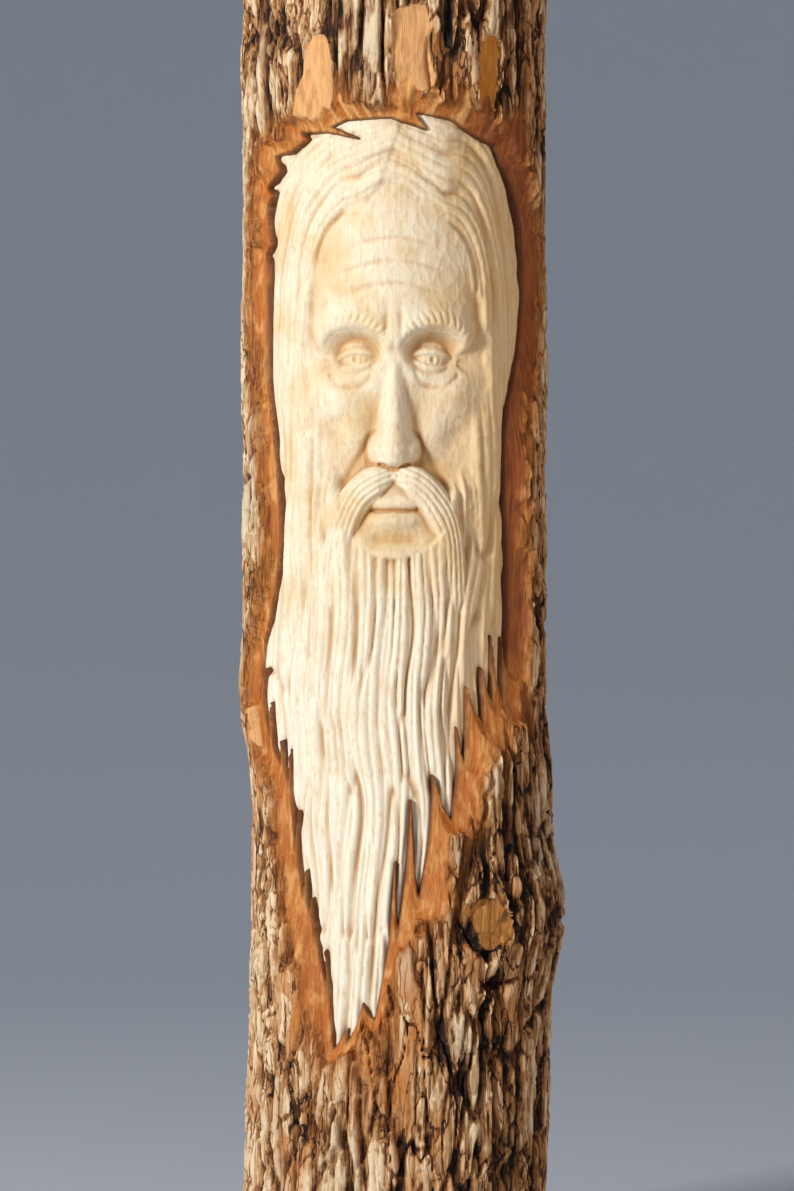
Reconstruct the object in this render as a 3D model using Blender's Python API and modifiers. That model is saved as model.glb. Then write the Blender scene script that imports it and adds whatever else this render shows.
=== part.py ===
"""A short log stood on end, its bark left on, with a long-bearded face carved into the front.

The log is one solid. The carver pared the bark back to its inner layer in a band round
the head, cut a stop line along the hair and beard, and carved the pale wood inside it.
Metres, +Z up, origin in the middle of the sawn foot, the face looking along -Y.
"""

import math

import bmesh
import bpy
import numpy as np

# The log, from its middle outward.
WOOD_RADIUS = 0.0675
INNER_BARK = 0.0048
OUTER_BARK = 0.0042

# The log, from its top end down.
CROWN_MARGIN = 0.1065
HEAD_HEIGHT = 0.236
BEARD_DROP = 0.219
FOOT_MARGIN = 0.1185
LOG_LENGTH = CROWN_MARGIN + HEAD_HEIGHT + BEARD_DROP + FOOT_MARGIN

# The carving is laid out in head units, 236 from crown to chin, with the eyes half way down.
# In these functions u runs round the wood from the face's midline and v up from the eyes.
HEAD_UNITS = 236
BEARD_UNITS = 219
UNIT = HEAD_HEIGHT / HEAD_UNITS
EYE_LINE = LOG_LENGTH - CROWN_MARGIN - HEAD_HEIGHT / 2
CHIN = -HEAD_UNITS / 2
FOOT = -EYE_LINE / UNIT
BEARD_STRETCH = BEARD_DROP / (BEARD_UNITS * UNIT)

# The bark's pattern, the band pared round the carving, and how far the hair and its edge
# stand below the bare wood.
RIDGE_WIDTH = 0.0095
RIDGE_LENGTH = 0.065
FURROW_DEPTH = 0.0050
BAND_WIDTH = 0.0065
STOP_CUT = 0.001
HAIR_DEPTH = 0.0025
BAND_LIP = 0.0008

# How finely the blank is divided before the form is thinned to its facets.
BLANK_STEPS = 232
FRONT_CROWDING = 0.5
FACE_ROW = 0.0011
BARK_ROW = 0.0030
SAW_ALLOWANCE = 0.006
FACETS = 9200
FACE_CARE = 0.045


def smooth(low, high, x):
    """0 up to low, 1 from high on, with an even ease between."""
    t = np.clip((x - low) / (high - low), 0.0, 1.0)
    return t * t * (3 - 2 * t)


def soft_max(a, b, blend):
    """The higher of two forms, with a fillet of about the size of blend where they meet."""
    overlap = np.maximum(blend - np.abs(a - b), 0.0) / blend
    return np.maximum(a, b) + overlap * overlap * blend / 4


def soft_min(a, b, blend):
    """The lower of two forms, with a rounded edge where they meet."""
    return -soft_max(-a, -b, blend)


def dome(a, v, at, radii, top, drop):
    """A rounded mound that stands at top and has fallen by drop at its radii."""
    return top - drop * (((a - at[0]) / radii[0]) ** 2 + ((v - at[1]) / radii[1]) ** 2)


def groove(distance, width):
    """1 along a cut's middle, fading to either side."""
    return np.exp(-((distance / width) ** 2))


def curve(points, steps=6):
    """More points on a smooth curve through the given ones."""
    p = np.array([points[0], *points, points[-1]], float)
    out = []
    for i in range(1, len(p) - 2):
        for t in np.arange(steps) / steps:
            rise = (p[i + 1] - p[i - 1]) * t
            bend = (2 * p[i - 1] - 5 * p[i] + 4 * p[i + 1] - p[i + 2]) * t**2
            turn = (3 * p[i] - p[i - 1] - 3 * p[i + 1] + p[i + 2]) * t**3
            out.append(tuple(p[i] + (rise + bend + turn) / 2))
    return out + [tuple(p[-1])]


def to_segment(a, v, start, end):
    """Offset of each point from its nearest point on a segment, and the share of it reached."""
    dx, dy = end[0] - start[0], end[1] - start[1]
    length_squared = max(dx * dx + dy * dy, 1e-9)
    t = np.clip(((a - start[0]) * dx + (v - start[1]) * dy) / length_squared, 0, 1)
    return a - start[0] - t * dx, v - start[1] - t * dy, t


def along(a, v, points):
    """Distance to a line of points, signed by its side, and the share of its length reached."""
    best = np.full(a.shape, np.inf)
    share = np.zeros(a.shape)
    side = np.ones(a.shape)
    for i, (start, end) in enumerate(zip(points, points[1:])):
        off_x, off_y, t = to_segment(a, v, start, end)
        distance = np.hypot(off_x, off_y)
        nearer = distance < best
        best = np.where(nearer, distance, best)
        share = np.where(nearer, (i + t) / (len(points) - 1), share)
        turn = (end[0] - start[0]) * off_y - (end[1] - start[1]) * off_x
        side = np.where(nearer, np.where(turn < 0, -1.0, 1.0), side)
    return best * side, share


def outline_distance(a, v, corners):
    """Distance to a closed outline, negative inside it."""
    best = np.full(a.shape, np.inf)
    inside = np.zeros(a.shape, bool)
    for start, end in zip(corners, corners[1:] + corners[:1]):
        off_x, off_y, _ = to_segment(a, v, start, end)
        best = np.minimum(best, np.hypot(off_x, off_y))
        if start[1] != end[1]:
            crossing = (end[0] - start[0]) * (v - start[1]) / (end[1] - start[1]) + start[0]
            inside ^= ((start[1] > v) != (end[1] > v)) & (a < crossing)
    return np.where(inside, -best, best)


def hashed(i, j, seed):
    """A scattered number from 0 to 1 for each whole pair i, j."""
    n = i.astype(np.int64) * 374761393 + j.astype(np.int64) * 668265263 + seed * 69069
    n = (n ^ (n >> 13)) * 1274126177
    return ((n ^ (n >> 16)) & 0xFFFF) / 0xFFFF


def noise(s, t, seed, wrap=0):
    """Smooth wandering from -1 to 1. Where wrap is given, s repeats after that many cells."""
    i, j = np.floor(s), np.floor(t)
    ease_s, ease_t = smooth(0, 1, s - i), smooth(0, 1, t - j)

    def corner(di, dj):
        return hashed(np.mod(i + di, wrap) if wrap else i + di, j + dj, seed)

    low = corner(0, 0) * (1 - ease_s) + corner(1, 0) * ease_s
    high = corner(0, 1) * (1 - ease_s) + corner(1, 1) * ease_s
    return 2 * (low * (1 - ease_t) + high * ease_t) - 1


def strands(q, sharpness=0.75):
    """Round strands side by side, one to each whole step of q: 0 on their backs, -1 in the cuts."""
    return -(np.abs(2 * (q - np.floor(q)) - 1) ** (2 / sharpness))


def off_lines(s, t, seed, wrap=0):
    """Distance to lines that wander up the log, join and part again, in cells across them."""
    def wave(s):
        return noise(s, t, seed, wrap) + 0.3 * noise(2 * s, 2.3 * t, seed + 1, 2 * wrap)

    here = wave(s)
    steepness = np.abs(wave(s + 0.15) - here) / 0.15
    return np.abs(here) / (steepness + 0.5)


# The stop line round hair and beard, as seen from the front: head units off the midline and
# off the eye line. A lock is its tip and the top of the slit that parts it from the next.
CROWN = [(-61, 53), (-58.5, 58), (-60.5, 77), (-57.5, 82), (-60.5, 86), (-54, 93),
         (-56.5, 101), (-49, 102), (-41, 107), (-44, 111), (-31, 110), (-17, 106.6),
         (-29.5, 112.5), (-22, 115.5), (-2, 116.5), (15.5, 111), (10, 118.8), (27, 116),
         (38, 109), (48, 104.5), (51, 95.6), (56.5, 84.5)]
RIGHT_SIDE = [(60, 68), (61.5, 40), (59, 5), (53, -34), (54, -100)]
RIGHT_LOCKS = [(53, -152, 51, -136), (50.5, -167, 46, -135), (45.5, -168, 42, -151),
               (40, -177.5, 34, -160), (29.5, -197, 28, -179.5), (23, -225, 15, -203),
               (7.5, -265, 4, -215), (-2.5, -282, -3.5, -245), (-12.5, -321.5, -18.5, -313.5),
               (-25.5, -334, -25, -326)]
BEARD_TIP = (-31.5, -337)
LEFT_LOCKS = [(-35, -310, -37, -288.5), (-41.5, -285, -41.5, -275), (-44, -271, -43.5, -263.5),
              (-47, -264, -46, -250), (-51, -240.5, -49.5, -221), (-54, -211, -52.5, -191),
              (-57, -199, -56, -187), (-61, -191, -58, -168), (-62, -167, -60, -151)]
LEFT_SIDE = [(-61.5, -140), (-54, -94), (-56, -50), (-60, -8), (-60, 48)]

# Places where a knife took the bark's back off flat, the last one the scar of an old branch:
# middle, half width and half height, seen from the front, lean, and how it widens upward.
SLICES = [(-38, 136, 8.5, 21, 0.12, -0.4), (9, 149, 9, 21, -0.05, -0.05), (45, 138, 5.5, 19, 0.05, 0),
          (-69, -176, 6, 15, 0.1, -0.3), (40.5, -275, 9, 11, -0.25, 0.35)]
KNOT = (40, -278)
KNOT_RADIUS = 8

# Width of the pared band down its left and its right side: heights, each with a share of BAND_WIDTH.
LEFT_BAND = [(-337, 0.8), (-311, 1.2), (-262, 0.8), (-205, 0.9), (-165, 0.8), (-115, 0.35), (5, 0.4),
             (27, 1.1), (60, 0.5), (100, 0.9)]
RIGHT_BAND = [(-337, 0.7), (-305, 0.4), (-262, 1.3), (-225, 1.1), (-190, 1.5), (-150, 1.2), (100, 1.1)]


def round_the_wood(x, radius):
    """Where a place seen from the front lies on the unrolled wood, in head units."""
    sine = max(-0.985, min(0.985, x * UNIT / radius))
    return math.asin(sine) * WOOD_RADIUS / UNIT


def hair_outline():
    """The stop line: crown, right side, right locks, tip, left locks and left side in turn."""
    right = []
    x, v = RIGHT_SIDE[-1]
    for tip_x, tip_v, slit_x, slit_v in RIGHT_LOCKS:
        right += [(x + 0.3 * (tip_x - x), v + 0.5 * (tip_v - v)), (tip_x, tip_v)]
        right += [(0.5 * (tip_x + slit_x), tip_v + 0.3 * (slit_v - tip_v)), (slit_x, slit_v)]
        x, v = slit_x, slit_v
    left = []
    for tip_x, tip_v, slit_x, slit_v in LEFT_LOCKS:
        left += [(tip_x + 1.2, tip_v), (slit_x, slit_v), (tip_x, tip_v)]
    seen = CROWN + curve(RIGHT_SIDE, 3) + right + [BEARD_TIP] + left + curve(LEFT_SIDE, 3)
    return [(round_the_wood(x, WOOD_RADIUS - HAIR_DEPTH - STOP_CUT), v) for x, v in seen]


def block(a, v):
    """The face roughed out: forehead, brow, cheeks and the muzzle under the moustache."""
    middle = groove(a**2, 42**2)
    h = -3.2 - 9.0 * middle * smooth(20, 6, v) * smooth(-98, -64, v)
    h = h - 1.4 * smooth(70, 84, v) * smooth(96, 84, v) * groove(a**2, 38**2)
    h = soft_max(h, dome(a, v, (0, 46), (50, 54), -1.7, 4.4), 2.0)
    for level, reach in ((34, 30), (45, 34), (56, 27)):
        bend = v - level - 2.2 * np.cos(a / 11) + 0.0022 * a * a
        h = h - 0.75 * groove(bend, 1.5) * smooth(reach, reach - 14, a)
    brow, share = along(a, v, curve([(2.5, 10), (11, 15.5), (23, 17.5), (35, 12.5), (44, 2)]))
    spread = 6.0 + 6.0 * smooth(-1.5, 1.5, brow)
    ridge = -0.9 - 3.2 * (brow / spread) ** 2 - 7.0 * smooth(0.8, 1.0, share)
    h = soft_max(h, ridge, 2.2)
    h = h - 2.4 * groove(a - 48, 7) * groove(v - 24, 18)
    h = h - 1.5 * groove(a - 3.6, 1.5) * groove(v - 17, 6.5)
    h = soft_max(h, dome(a, v, (37, -19), (19, 15), -3.2, 5.5), 3.5)
    h = soft_max(h, dome(a, v, (25, -33), (14, 15), -7.2, 5.0), 3.0)
    h = soft_max(h, dome(a, v, (0, -76), (25, 27), -5.8, 5.5), 3.0)
    fold, share = along(a, v, curve([(14, -39), (19, -46), (26, -55), (33, -66)]))
    return h - (1.9 - 1.0 * share) * groove(fold, 1.9)


def eyes(h, a, v):
    """Sockets, eyeballs, heavy lids half closed over them, and the folds round them."""
    socket = dome(a, v, (21.5, 2), (17, 11.5), -13.6, -9.0)
    h = soft_min(h, np.maximum(socket, -14.5), 2.0)
    ball = dome(a, v, (22, -1.0), (13.5, 11.0), -7.4, 5.6)
    across = (a - 22) / 12.0
    upper = -0.6 + 2.6 * (1 - across**2) - 1.1 * across
    lower = -0.8 - 3.1 * (1 - across**2) - 1.1 * across
    opening = np.minimum(upper - v, v - lower)
    lids = ball + 1.7 * (1 - smooth(-0.5, 0.6, opening))
    near = smooth(14, 9, np.abs(a - 22))
    lids = lids - 1.1 * groove(v - upper - 3.6, 0.9) * near
    lids = lids - 0.8 * groove(v - lower + 3.6, 0.9) * near
    iris = np.hypot(a - 21.8, v + 0.6)
    seen = smooth(0.1, 0.7, opening)
    lids = lids - seen * (0.4 * groove(iris - 3.9, 0.6) + 1.0 * smooth(1.9, 0.9, iris))
    h = soft_max(h, lids, 1.0)
    bag, _ = along(a, v, curve([(11.5, -6), (15, -11.5), (22, -14.2), (30, -13), (36, -8.5)]))
    h = h - 1.1 * groove(bag, 1.5)
    for tilt in (-4.5, 0.0, 4.5):
        crow, reach = along(a, v, [(37, -1 + 0.5 * tilt), (45, -1 + 1.5 * tilt)])
        h = h - 0.7 * (1 - reach) * groove(crow, 0.9)
    return h


def nose(h, a, v):
    """A straight ridge with flat sides, a round ball and wings, cut square underneath."""
    ridge = np.interp(v, [-56, -50, -45, -39, -28, -12, 3, 10, 22],
                      [-3, -0.8, 0.3, 0.1, -1.2, -3.0, -5.6, -4.4, -3])
    half = np.interp(v, [-50, -42, -28, -8, 6, 16], [6.2, 5.8, 4.2, 3.8, 4.2, 5.0])
    slope = np.interp(v, [-46, -10, 6, 16], [1.15, 1.2, 1.0, 0.7])
    form = ridge - slope * (np.hypot(a, half) - half) - 0.12 * np.maximum(v - 16, 0) ** 2
    form = soft_max(form, dome(a, v, (9.3, -44.6), (6.3, 8.0), -5.0, 5.2), 2.2)
    underside = -1.2 + 2.6 * (v + 51.5 - 0.012 * a * a)
    h = soft_max(h, soft_min(form, underside, 1.8), 1.6)
    crease = np.hypot(a - 8.6, (v + 45.0) / 1.15) - 8.6
    h = h - 0.8 * groove(crease, 1.0) * smooth(8, 11, a) * smooth(-54, -50, v)
    nostril = np.hypot((a - 5.8) / 3.2, (v + 52.6 - 0.2 * (a - 5.8)) / 1.7)
    return h - 3.6 * smooth(1.25, 0.5, nostril)


def mouth(h, a, v):
    """Closed, level lips in the bare hollow under the moustache."""
    h = soft_max(h, dome(a, v, (0, -70.5), (17.0, 4.8), -4.6, 3.0) - 0.6 * groove(a, 2.2), 1.2)
    h = soft_max(h, dome(a, v, (0, -79.3), (14.0, 5.0), -3.5, 3.2), 1.2)
    line = v + 74.6 - 0.0035 * a * a - 0.5 * groove(a, 4)
    h = h - 2.4 * groove(line, 0.9) * smooth(21, 15, a)
    return h - 2.4 * groove(v + 88.5, 3.8) * smooth(18, 8, a)


def eyebrows(h, a, v):
    """Short cuts that fan up and outward from the brow ridge."""
    brow, share = along(a, v, curve([(4, 11), (12, 16.5), (23, 19), (34, 15), (41, 7)]))
    fan = 13 * share + 0.11 * brow * (0.4 + share)
    length = 5.5 + 2.5 * noise(9 * share, 0 * v, 41)
    hairs = smooth(length, 1.0, np.abs(brow)) * smooth(-3.5, 0.5, brow) * smooth(0.0, 0.08, share)
    return h + hairs * (0.5 + 1.1 * strands(fan, 0.8)) * smooth(1.0, 0.75, share)


def carving(u, v):
    """Height of the carved wood over the bare wood, in head units: face, hair and beard."""
    a = np.abs(u)
    radius = WOOD_RADIUS / UNIT
    x = radius * np.sin(np.clip(u / radius, -1.5, 1.5))
    wave = noise(x / 21, v / 45, 21)
    ripple = noise(x / 9, v / 28, 22)
    h = mouth(nose(eyes(block(a, v), a, v), a, v), a, v)

    # Hair combed from a parting, its strands arching over the forehead and down the sides.
    off_oval = 46.5 * (np.hypot(x / 46.5, (v + 8) / 90) - 1)
    cover = smooth(-1.0, 2.6, off_oval + 1.6 * noise(x / 6, v / 9, 31)) * smooth(-60, -25, v)
    swell = smooth(0, 40, v)
    arch = 46.5 * (((x / 46.5) ** 4 + ((v + 8) / 90) ** 4 + 0.001) ** 0.25 - 1)
    parting = x + 3 - 0.35 * (v - 93)
    combed = arch + 0.09 * np.abs(parting) * smooth(25, 85, v) + 2.2 * wave
    fine = strands(combed / 2.7 + 0.3 * ripple)
    lock = strands(combed / 8.6 + 0.25 * ripple + 0.3, 0.9)
    gouge = groove(off_lines(combed / 5, (v - 0.6 * x) / 42, 33), 0.2)
    hair = -2.3 + 0.8 * wave + (0.5 + 0.35 * swell) * fine + (0.5 + 1.2 * swell) * lock
    hair = hair - (0.6 + 0.3 * swell) * gouge
    side = 1.2 * smooth(5, -4, parting) * groove(parting, 20) - 0.4 * groove(parting, 1.4)
    hair = hair + side * smooth(72, 88, v)
    h = h * (1 - cover) + hair * cover

    # Beard from the cheeks and from a ledge under the lip, hanging to the tips.
    bare = np.hypot(a / 26, (v + 74) / 23)
    cheek = np.hypot(x / 43, (v + 10) / 76) + 0.03 * ripple
    ledge = smooth(1.0, 1.1, bare) * smooth(0.93, 1.05, cheek) * smooth(-50, -68, v)
    ledge = np.maximum(ledge, smooth(38, 45, np.abs(x)) * smooth(-5, -45, v))
    lean = 0.055 * np.minimum(v + 90, 0)
    fine = strands((x - lean) / 4.1 + 0.7 * wave + 0.25 * ripple)
    lock = strands((x - lean) / 12.5 + 0.5 * wave + 0.35, 0.9)
    gouge = groove(off_lines((x - lean) / 6.5 + 0.4 * wave, v / 62, 35), 0.16)
    body = -1.8 - 1.4 * groove(v + 98, 20) * groove(a, 28)
    beard = body + 0.9 * wave + 1.1 * fine + 1.4 * lock - 1.7 * gouge
    h = h * (1 - ledge) + beard * ledge

    # Moustache: two tapering sweeps from under the nose that run out on the beard.
    sweep = [(1.5, -57.5), (10, -60), (20, -67.5), (27.5, -79), (32, -94), (34.5, -114), (35, -134)]
    off, share = along(a, v, curve(sweep))
    width = np.interp(share, [0, 0.2, 0.5, 0.8, 1], [4.0, 8.0, 8.5, 6.5, 3.0])
    lift = np.interp(share, [0, 0.15, 0.6, 1], [-4.8, -2.2, -1.4, -2.6])
    beyond = np.abs(off) / width
    fine = strands(off / 2.8 + 1.2 * share + 0.4 * ripple) * smooth(1.2, 0.9, beyond)
    pad = lift - 3.4 * beyond**4 + 1.2 * fine
    on_pad = smooth(1.25, 1.0, beyond) * smooth(1.0, 0.85, share)
    h = np.where(on_pad > 0, soft_max(h, pad - 6 * (1 - on_pad), 0.6), h)
    return eyebrows(h, a, v)


def even(number):
    """The nearest even whole number, at least 6."""
    return max(6, 2 * round(number / 2))


def around_the_log(u, v):
    """Share of the way round the log, with the bark's lines parted round the old branch."""
    across = u - round_the_wood(KNOT[0], WOOD_RADIUS + INNER_BARK)
    away = np.maximum(across**2 + (0.75 * (v - KNOT[1])) ** 2, KNOT_RADIUS**2)
    parted = across * KNOT_RADIUS**2 / away * groove(across, 6 * KNOT_RADIUS)
    return (u - parted) * UNIT / (2 * math.pi * WOOD_RADIUS) + 0.5


def bark_ridges(u, v):
    """How far the rough bark fills its full thickness, from 0 in a furrow to 1 on a ridge."""
    around = around_the_log(u, v)
    tall = v * UNIT / RIDGE_LENGTH
    columns = even(2 * math.pi * (WOOD_RADIUS + INNER_BARK) / RIDGE_WIDTH)
    weave = 0.3 * noise(around * columns, 2.6 * tall, 51, columns)
    furrow = off_lines(around * columns + weave, tall, 53, columns)
    swell = noise(around * columns / 2, 1.4 * tall, 57, columns // 2)
    return smooth(0.03, 0.26, furrow) * (0.86 + 0.14 * swell)


def sliced(u, v):
    """Above 0 inside the places where a knife took the bark's back off."""
    inside = np.full(u.shape, -1.0)
    for x, middle, half_width, half_height, lean, widening in SLICES:
        up = (v - middle) / half_height
        across = u - round_the_wood(x, WOOD_RADIUS + INNER_BARK) - lean * (v - middle)
        reach = half_width * np.clip(1 + widening * up, 0.3, 2)
        inside = np.maximum(inside, 1 - np.abs(across / reach) ** 3 - np.abs(up) ** 5)
    return inside


def band_width(u, v):
    """Width of the band round the carving that is pared to the inner bark, in head units."""
    left, right = [np.interp(v, *np.transpose(side)) for side in (LEFT_BAND, RIGHT_BAND)]
    width = left + (right - left) * smooth(-12, 12, u + 28 * smooth(-150, -330, v))
    ragged = 1 + 0.30 * noise(u / 9, v / 17, 71) + 0.22 * noise(u / 4, v / 30, 75)
    tongues = 10 * smooth(98, 106, v) * smooth(0.1, 0.8, noise(u / 6.5, v / 40, 79))
    return BAND_WIDTH / UNIT * width * ragged + tongues


def trunk_sway(v):
    """The log's own bend: how far its middle stands to the side, in head units."""
    return 4.2 * (smooth(-150, -215, v) - smooth(-280, FOOT, v))


def trunk_swell(u, v):
    """The swelling round the old branch on the right, and a smaller one on the left."""
    knot = 8.5 * groove(u - 78, 32) * groove(v + 272, 25)
    return knot + 2.6 * groove(u + 98, 34) * groove(v + 168, 20)


def log_radius(angle, z):
    """Distance of the finished surface from the log's middle at each angle and height."""
    u = angle * WOOD_RADIUS / UNIT
    v = (z - EYE_LINE) / UNIT
    v = np.where(v < CHIN, CHIN + (v - CHIN) / BEARD_STRETCH, v)
    off_hair = outline_distance(u, v, hair_outline())
    wood = carving(u, v) - STOP_CUT / UNIT * smooth(-3.5, 0, off_hair)
    band = (-BAND_LIP + (INNER_BARK + BAND_LIP) * smooth(0, 12, off_hair)) / UNIT
    rough = INNER_BARK + OUTER_BARK + FURROW_DEPTH * (bark_ridges(u, v) - 1)
    rough = np.where(sliced(u, v) > 0, np.minimum(rough, INNER_BARK + 0.25 * OUTER_BARK), rough)
    bark = band + (rough / UNIT - band) * smooth(0, 3, off_hair - band_width(u, v))
    relief = np.where(off_hair < 0, wood, bark)
    return WOOD_RADIUS + UNIT * (relief + trunk_swell(u, v))


def rows(top, bottom, step):
    """Heights from top down to just above bottom, about a step apart."""
    count = max(1, round((top - bottom) / step))
    return list(np.linspace(top, bottom, count, endpoint=False))


def blank():
    """The round log before carving: a turned profile, a little long at both ends."""
    crown = LOG_LENGTH - 0.9 * CROWN_MARGIN
    chin = crown - 1.05 * HEAD_HEIGHT
    heights = rows(LOG_LENGTH + SAW_ALLOWANCE, crown, BARK_ROW) + rows(crown, chin, FACE_ROW)
    heights += rows(chin, -SAW_ALLOWANCE, BARK_ROW) + [-SAW_ALLOWANCE]
    profile = [(0, 0, heights[0])] + [(WOOD_RADIUS, 0, z) for z in heights] + [(0, 0, heights[-1])]
    mesh = bpy.data.meshes.new("log_profile")
    mesh.from_pydata(profile, [(i, i + 1) for i in range(len(profile) - 1)], [])
    turned = bpy.data.objects.new("log_profile", mesh)
    bpy.context.scene.collection.objects.link(turned)
    screw = turned.modifiers.new("turn", "SCREW")
    screw.steps = screw.render_steps = BLANK_STEPS
    screw.use_merge_vertices = True
    screw.merge_threshold = 0.0001
    bpy.context.view_layer.update()
    evaluated = turned.evaluated_get(bpy.context.evaluated_depsgraph_get())
    solid = bpy.data.meshes.new_from_object(evaluated)
    bpy.data.objects.remove(turned)
    bpy.data.meshes.remove(mesh)
    return solid


def carve(mesh):
    """Moves the blank's surface to the finished radius, point by point."""
    points = np.empty(3 * len(mesh.vertices))
    mesh.vertices.foreach_get("co", points)
    points = points.reshape(-1, 3)
    side = np.hypot(points[:, 0], points[:, 1]) > 0.5 * WOOD_RADIUS
    x, y, z = points[side].T
    angle = np.arctan2(x, -y)
    angle = angle - FRONT_CROWDING * np.sin(angle)
    radius = log_radius(angle, z)
    points[side, 0] = radius * np.sin(angle) + UNIT * trunk_sway((z - EYE_LINE) / UNIT)
    points[side, 1] = -radius * np.cos(angle)
    mesh.vertices.foreach_set("co", points.ravel())
    mesh.update()


def plain_group(log):
    """Marks the points by how plain they are: bark fully, hair and beard less, face and edge least."""
    points = np.empty(3 * len(log.data.vertices))
    log.data.vertices.foreach_get("co", points)
    x, y, z = points.reshape(-1, 3).T
    v = (z - EYE_LINE) / UNIT
    u = np.arctan2(x - UNIT * trunk_sway(v), -y) * WOOD_RADIUS / UNIT
    off_hair = outline_distance(u, v, hair_outline())
    carved = off_hair < 0
    fine = (np.hypot(u / 52, (v + 10) / 90) < 1) | (np.abs(off_hair - 1) < 3)
    group = log.vertex_groups.new(name="plain")
    for where, weight in ((~carved, 1.0), (carved, 0.7), (fine, 0.4)):
        group.add(np.flatnonzero(where).tolist(), weight, "REPLACE")
    return group


def outward(mesh):
    """Turns every face to point out of the solid."""
    work = bmesh.new()
    work.from_mesh(mesh)
    bmesh.ops.recalc_face_normals(work, faces=work.faces)
    work.to_mesh(mesh)
    work.free()


def saw_box(collection):
    """The length between the two saw cuts, as a box wider than the log."""
    width = 4 * (WOOD_RADIUS + INNER_BARK + OUTER_BARK)
    mesh = bpy.data.meshes.new("between_saw_cuts")
    work = bmesh.new()
    bmesh.ops.create_cube(work, size=1)
    bmesh.ops.scale(work, vec=(width, width, LOG_LENGTH), verts=work.verts)
    bmesh.ops.translate(work, vec=(0, 0, LOG_LENGTH / 2), verts=work.verts)
    work.to_mesh(mesh)
    work.free()
    box = bpy.data.objects.new("between_saw_cuts", mesh)
    box.hide_render = True
    box.display_type = "WIRE"
    collection.objects.link(box)
    return box


def log_material():
    """Weathered bark, which covers most of the log."""
    material = bpy.data.materials.new("bark")
    material.use_nodes = True
    shader = material.node_tree.nodes["Principled BSDF"]
    shader.inputs["Base Color"].default_value = (0.27, 0.15, 0.07, 1)
    shader.inputs["Roughness"].default_value = 0.85
    shader.inputs["Metallic"].default_value = 0.0
    return material


def main():
    for old in list(bpy.data.objects):
        bpy.data.objects.remove(old)
    parts = bpy.data.collections.new("tree_face_sculpture")
    cutters = bpy.data.collections.new("cutters")
    for collection in (parts, cutters):
        bpy.context.scene.collection.children.link(collection)

    mesh = blank()
    carve(mesh)
    outward(mesh)
    mesh.name = "carved_log"
    log = bpy.data.objects.new("carved_log", mesh)
    parts.objects.link(log)
    log.data.materials.append(log_material())

    facets = log.modifiers.new("facets", "DECIMATE")
    facets.ratio = FACETS / (2 * len(mesh.polygons))
    facets.vertex_group = plain_group(log).name
    facets.vertex_group_factor = FACE_CARE
    saw = log.modifiers.new("saw_to_length", "BOOLEAN")
    saw.operation = "INTERSECT"
    saw.solver = "EXACT"
    saw.object = saw_box(cutters)


main()
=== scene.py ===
"""A bearded face carved through the bark of an upright log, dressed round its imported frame."""

import math

import bpy
import numpy as np
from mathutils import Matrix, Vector


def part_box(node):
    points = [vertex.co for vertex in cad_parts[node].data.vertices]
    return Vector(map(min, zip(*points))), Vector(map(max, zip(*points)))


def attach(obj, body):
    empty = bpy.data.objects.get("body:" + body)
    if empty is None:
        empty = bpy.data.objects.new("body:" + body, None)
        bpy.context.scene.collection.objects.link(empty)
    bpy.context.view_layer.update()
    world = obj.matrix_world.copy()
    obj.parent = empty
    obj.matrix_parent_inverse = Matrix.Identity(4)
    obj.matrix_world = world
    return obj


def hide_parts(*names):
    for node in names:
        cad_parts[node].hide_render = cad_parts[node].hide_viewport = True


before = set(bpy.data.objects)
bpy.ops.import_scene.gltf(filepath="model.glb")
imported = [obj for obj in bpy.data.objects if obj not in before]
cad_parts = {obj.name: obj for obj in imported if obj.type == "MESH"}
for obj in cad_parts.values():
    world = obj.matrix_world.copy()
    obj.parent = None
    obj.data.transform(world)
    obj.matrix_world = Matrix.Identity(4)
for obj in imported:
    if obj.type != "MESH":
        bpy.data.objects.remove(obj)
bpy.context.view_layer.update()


# The carving is part of the log itself: its pale sapwood, laid bare and cut in low relief with
# a knife and small gouges. Its edge is a stop line cut along the locks of hair and beard, and
# beyond that line the wood runs on unseen under the bark.

LOG_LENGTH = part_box("carved_log")[1].z
WOOD_RADIUS = 0.0675
CROWN_MARGIN = 0.1065
HEAD_HEIGHT = 0.236
BEARD_DROP = 0.219
STOP_CUT = 0.001
HAIR_DEPTH = 0.0025

# The carving is laid out in head units, 236 from crown to chin, with the eyes half way down.
# In these functions u runs round the wood from the face's midline and v up from the eyes.
HEAD_UNITS = 236
BEARD_UNITS = 219
UNIT = HEAD_HEIGHT / HEAD_UNITS
EYE_LINE = LOG_LENGTH - CROWN_MARGIN - HEAD_HEIGHT / 2
CHIN = -HEAD_UNITS / 2
FOOT = -EYE_LINE / UNIT
BEARD_STRETCH = BEARD_DROP / (BEARD_UNITS * UNIT)


def smooth(low, high, x):
    """0 up to low, 1 from high on, with an even ease between."""
    t = np.clip((x - low) / (high - low), 0.0, 1.0)
    return t * t * (3 - 2 * t)


def soft_max(a, b, blend):
    """The higher of two forms, with a fillet of about the size of blend where they meet."""
    overlap = np.maximum(blend - np.abs(a - b), 0.0) / blend
    return np.maximum(a, b) + overlap * overlap * blend / 4


def soft_min(a, b, blend):
    """The lower of two forms, with a rounded edge where they meet."""
    return -soft_max(-a, -b, blend)


def dome(a, v, at, radii, top, drop):
    """A rounded mound that stands at top and has fallen by drop at its radii."""
    return top - drop * (((a - at[0]) / radii[0]) ** 2 + ((v - at[1]) / radii[1]) ** 2)


def groove(distance, width):
    """1 along a cut's middle, fading to either side."""
    return np.exp(-((distance / width) ** 2))


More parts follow.
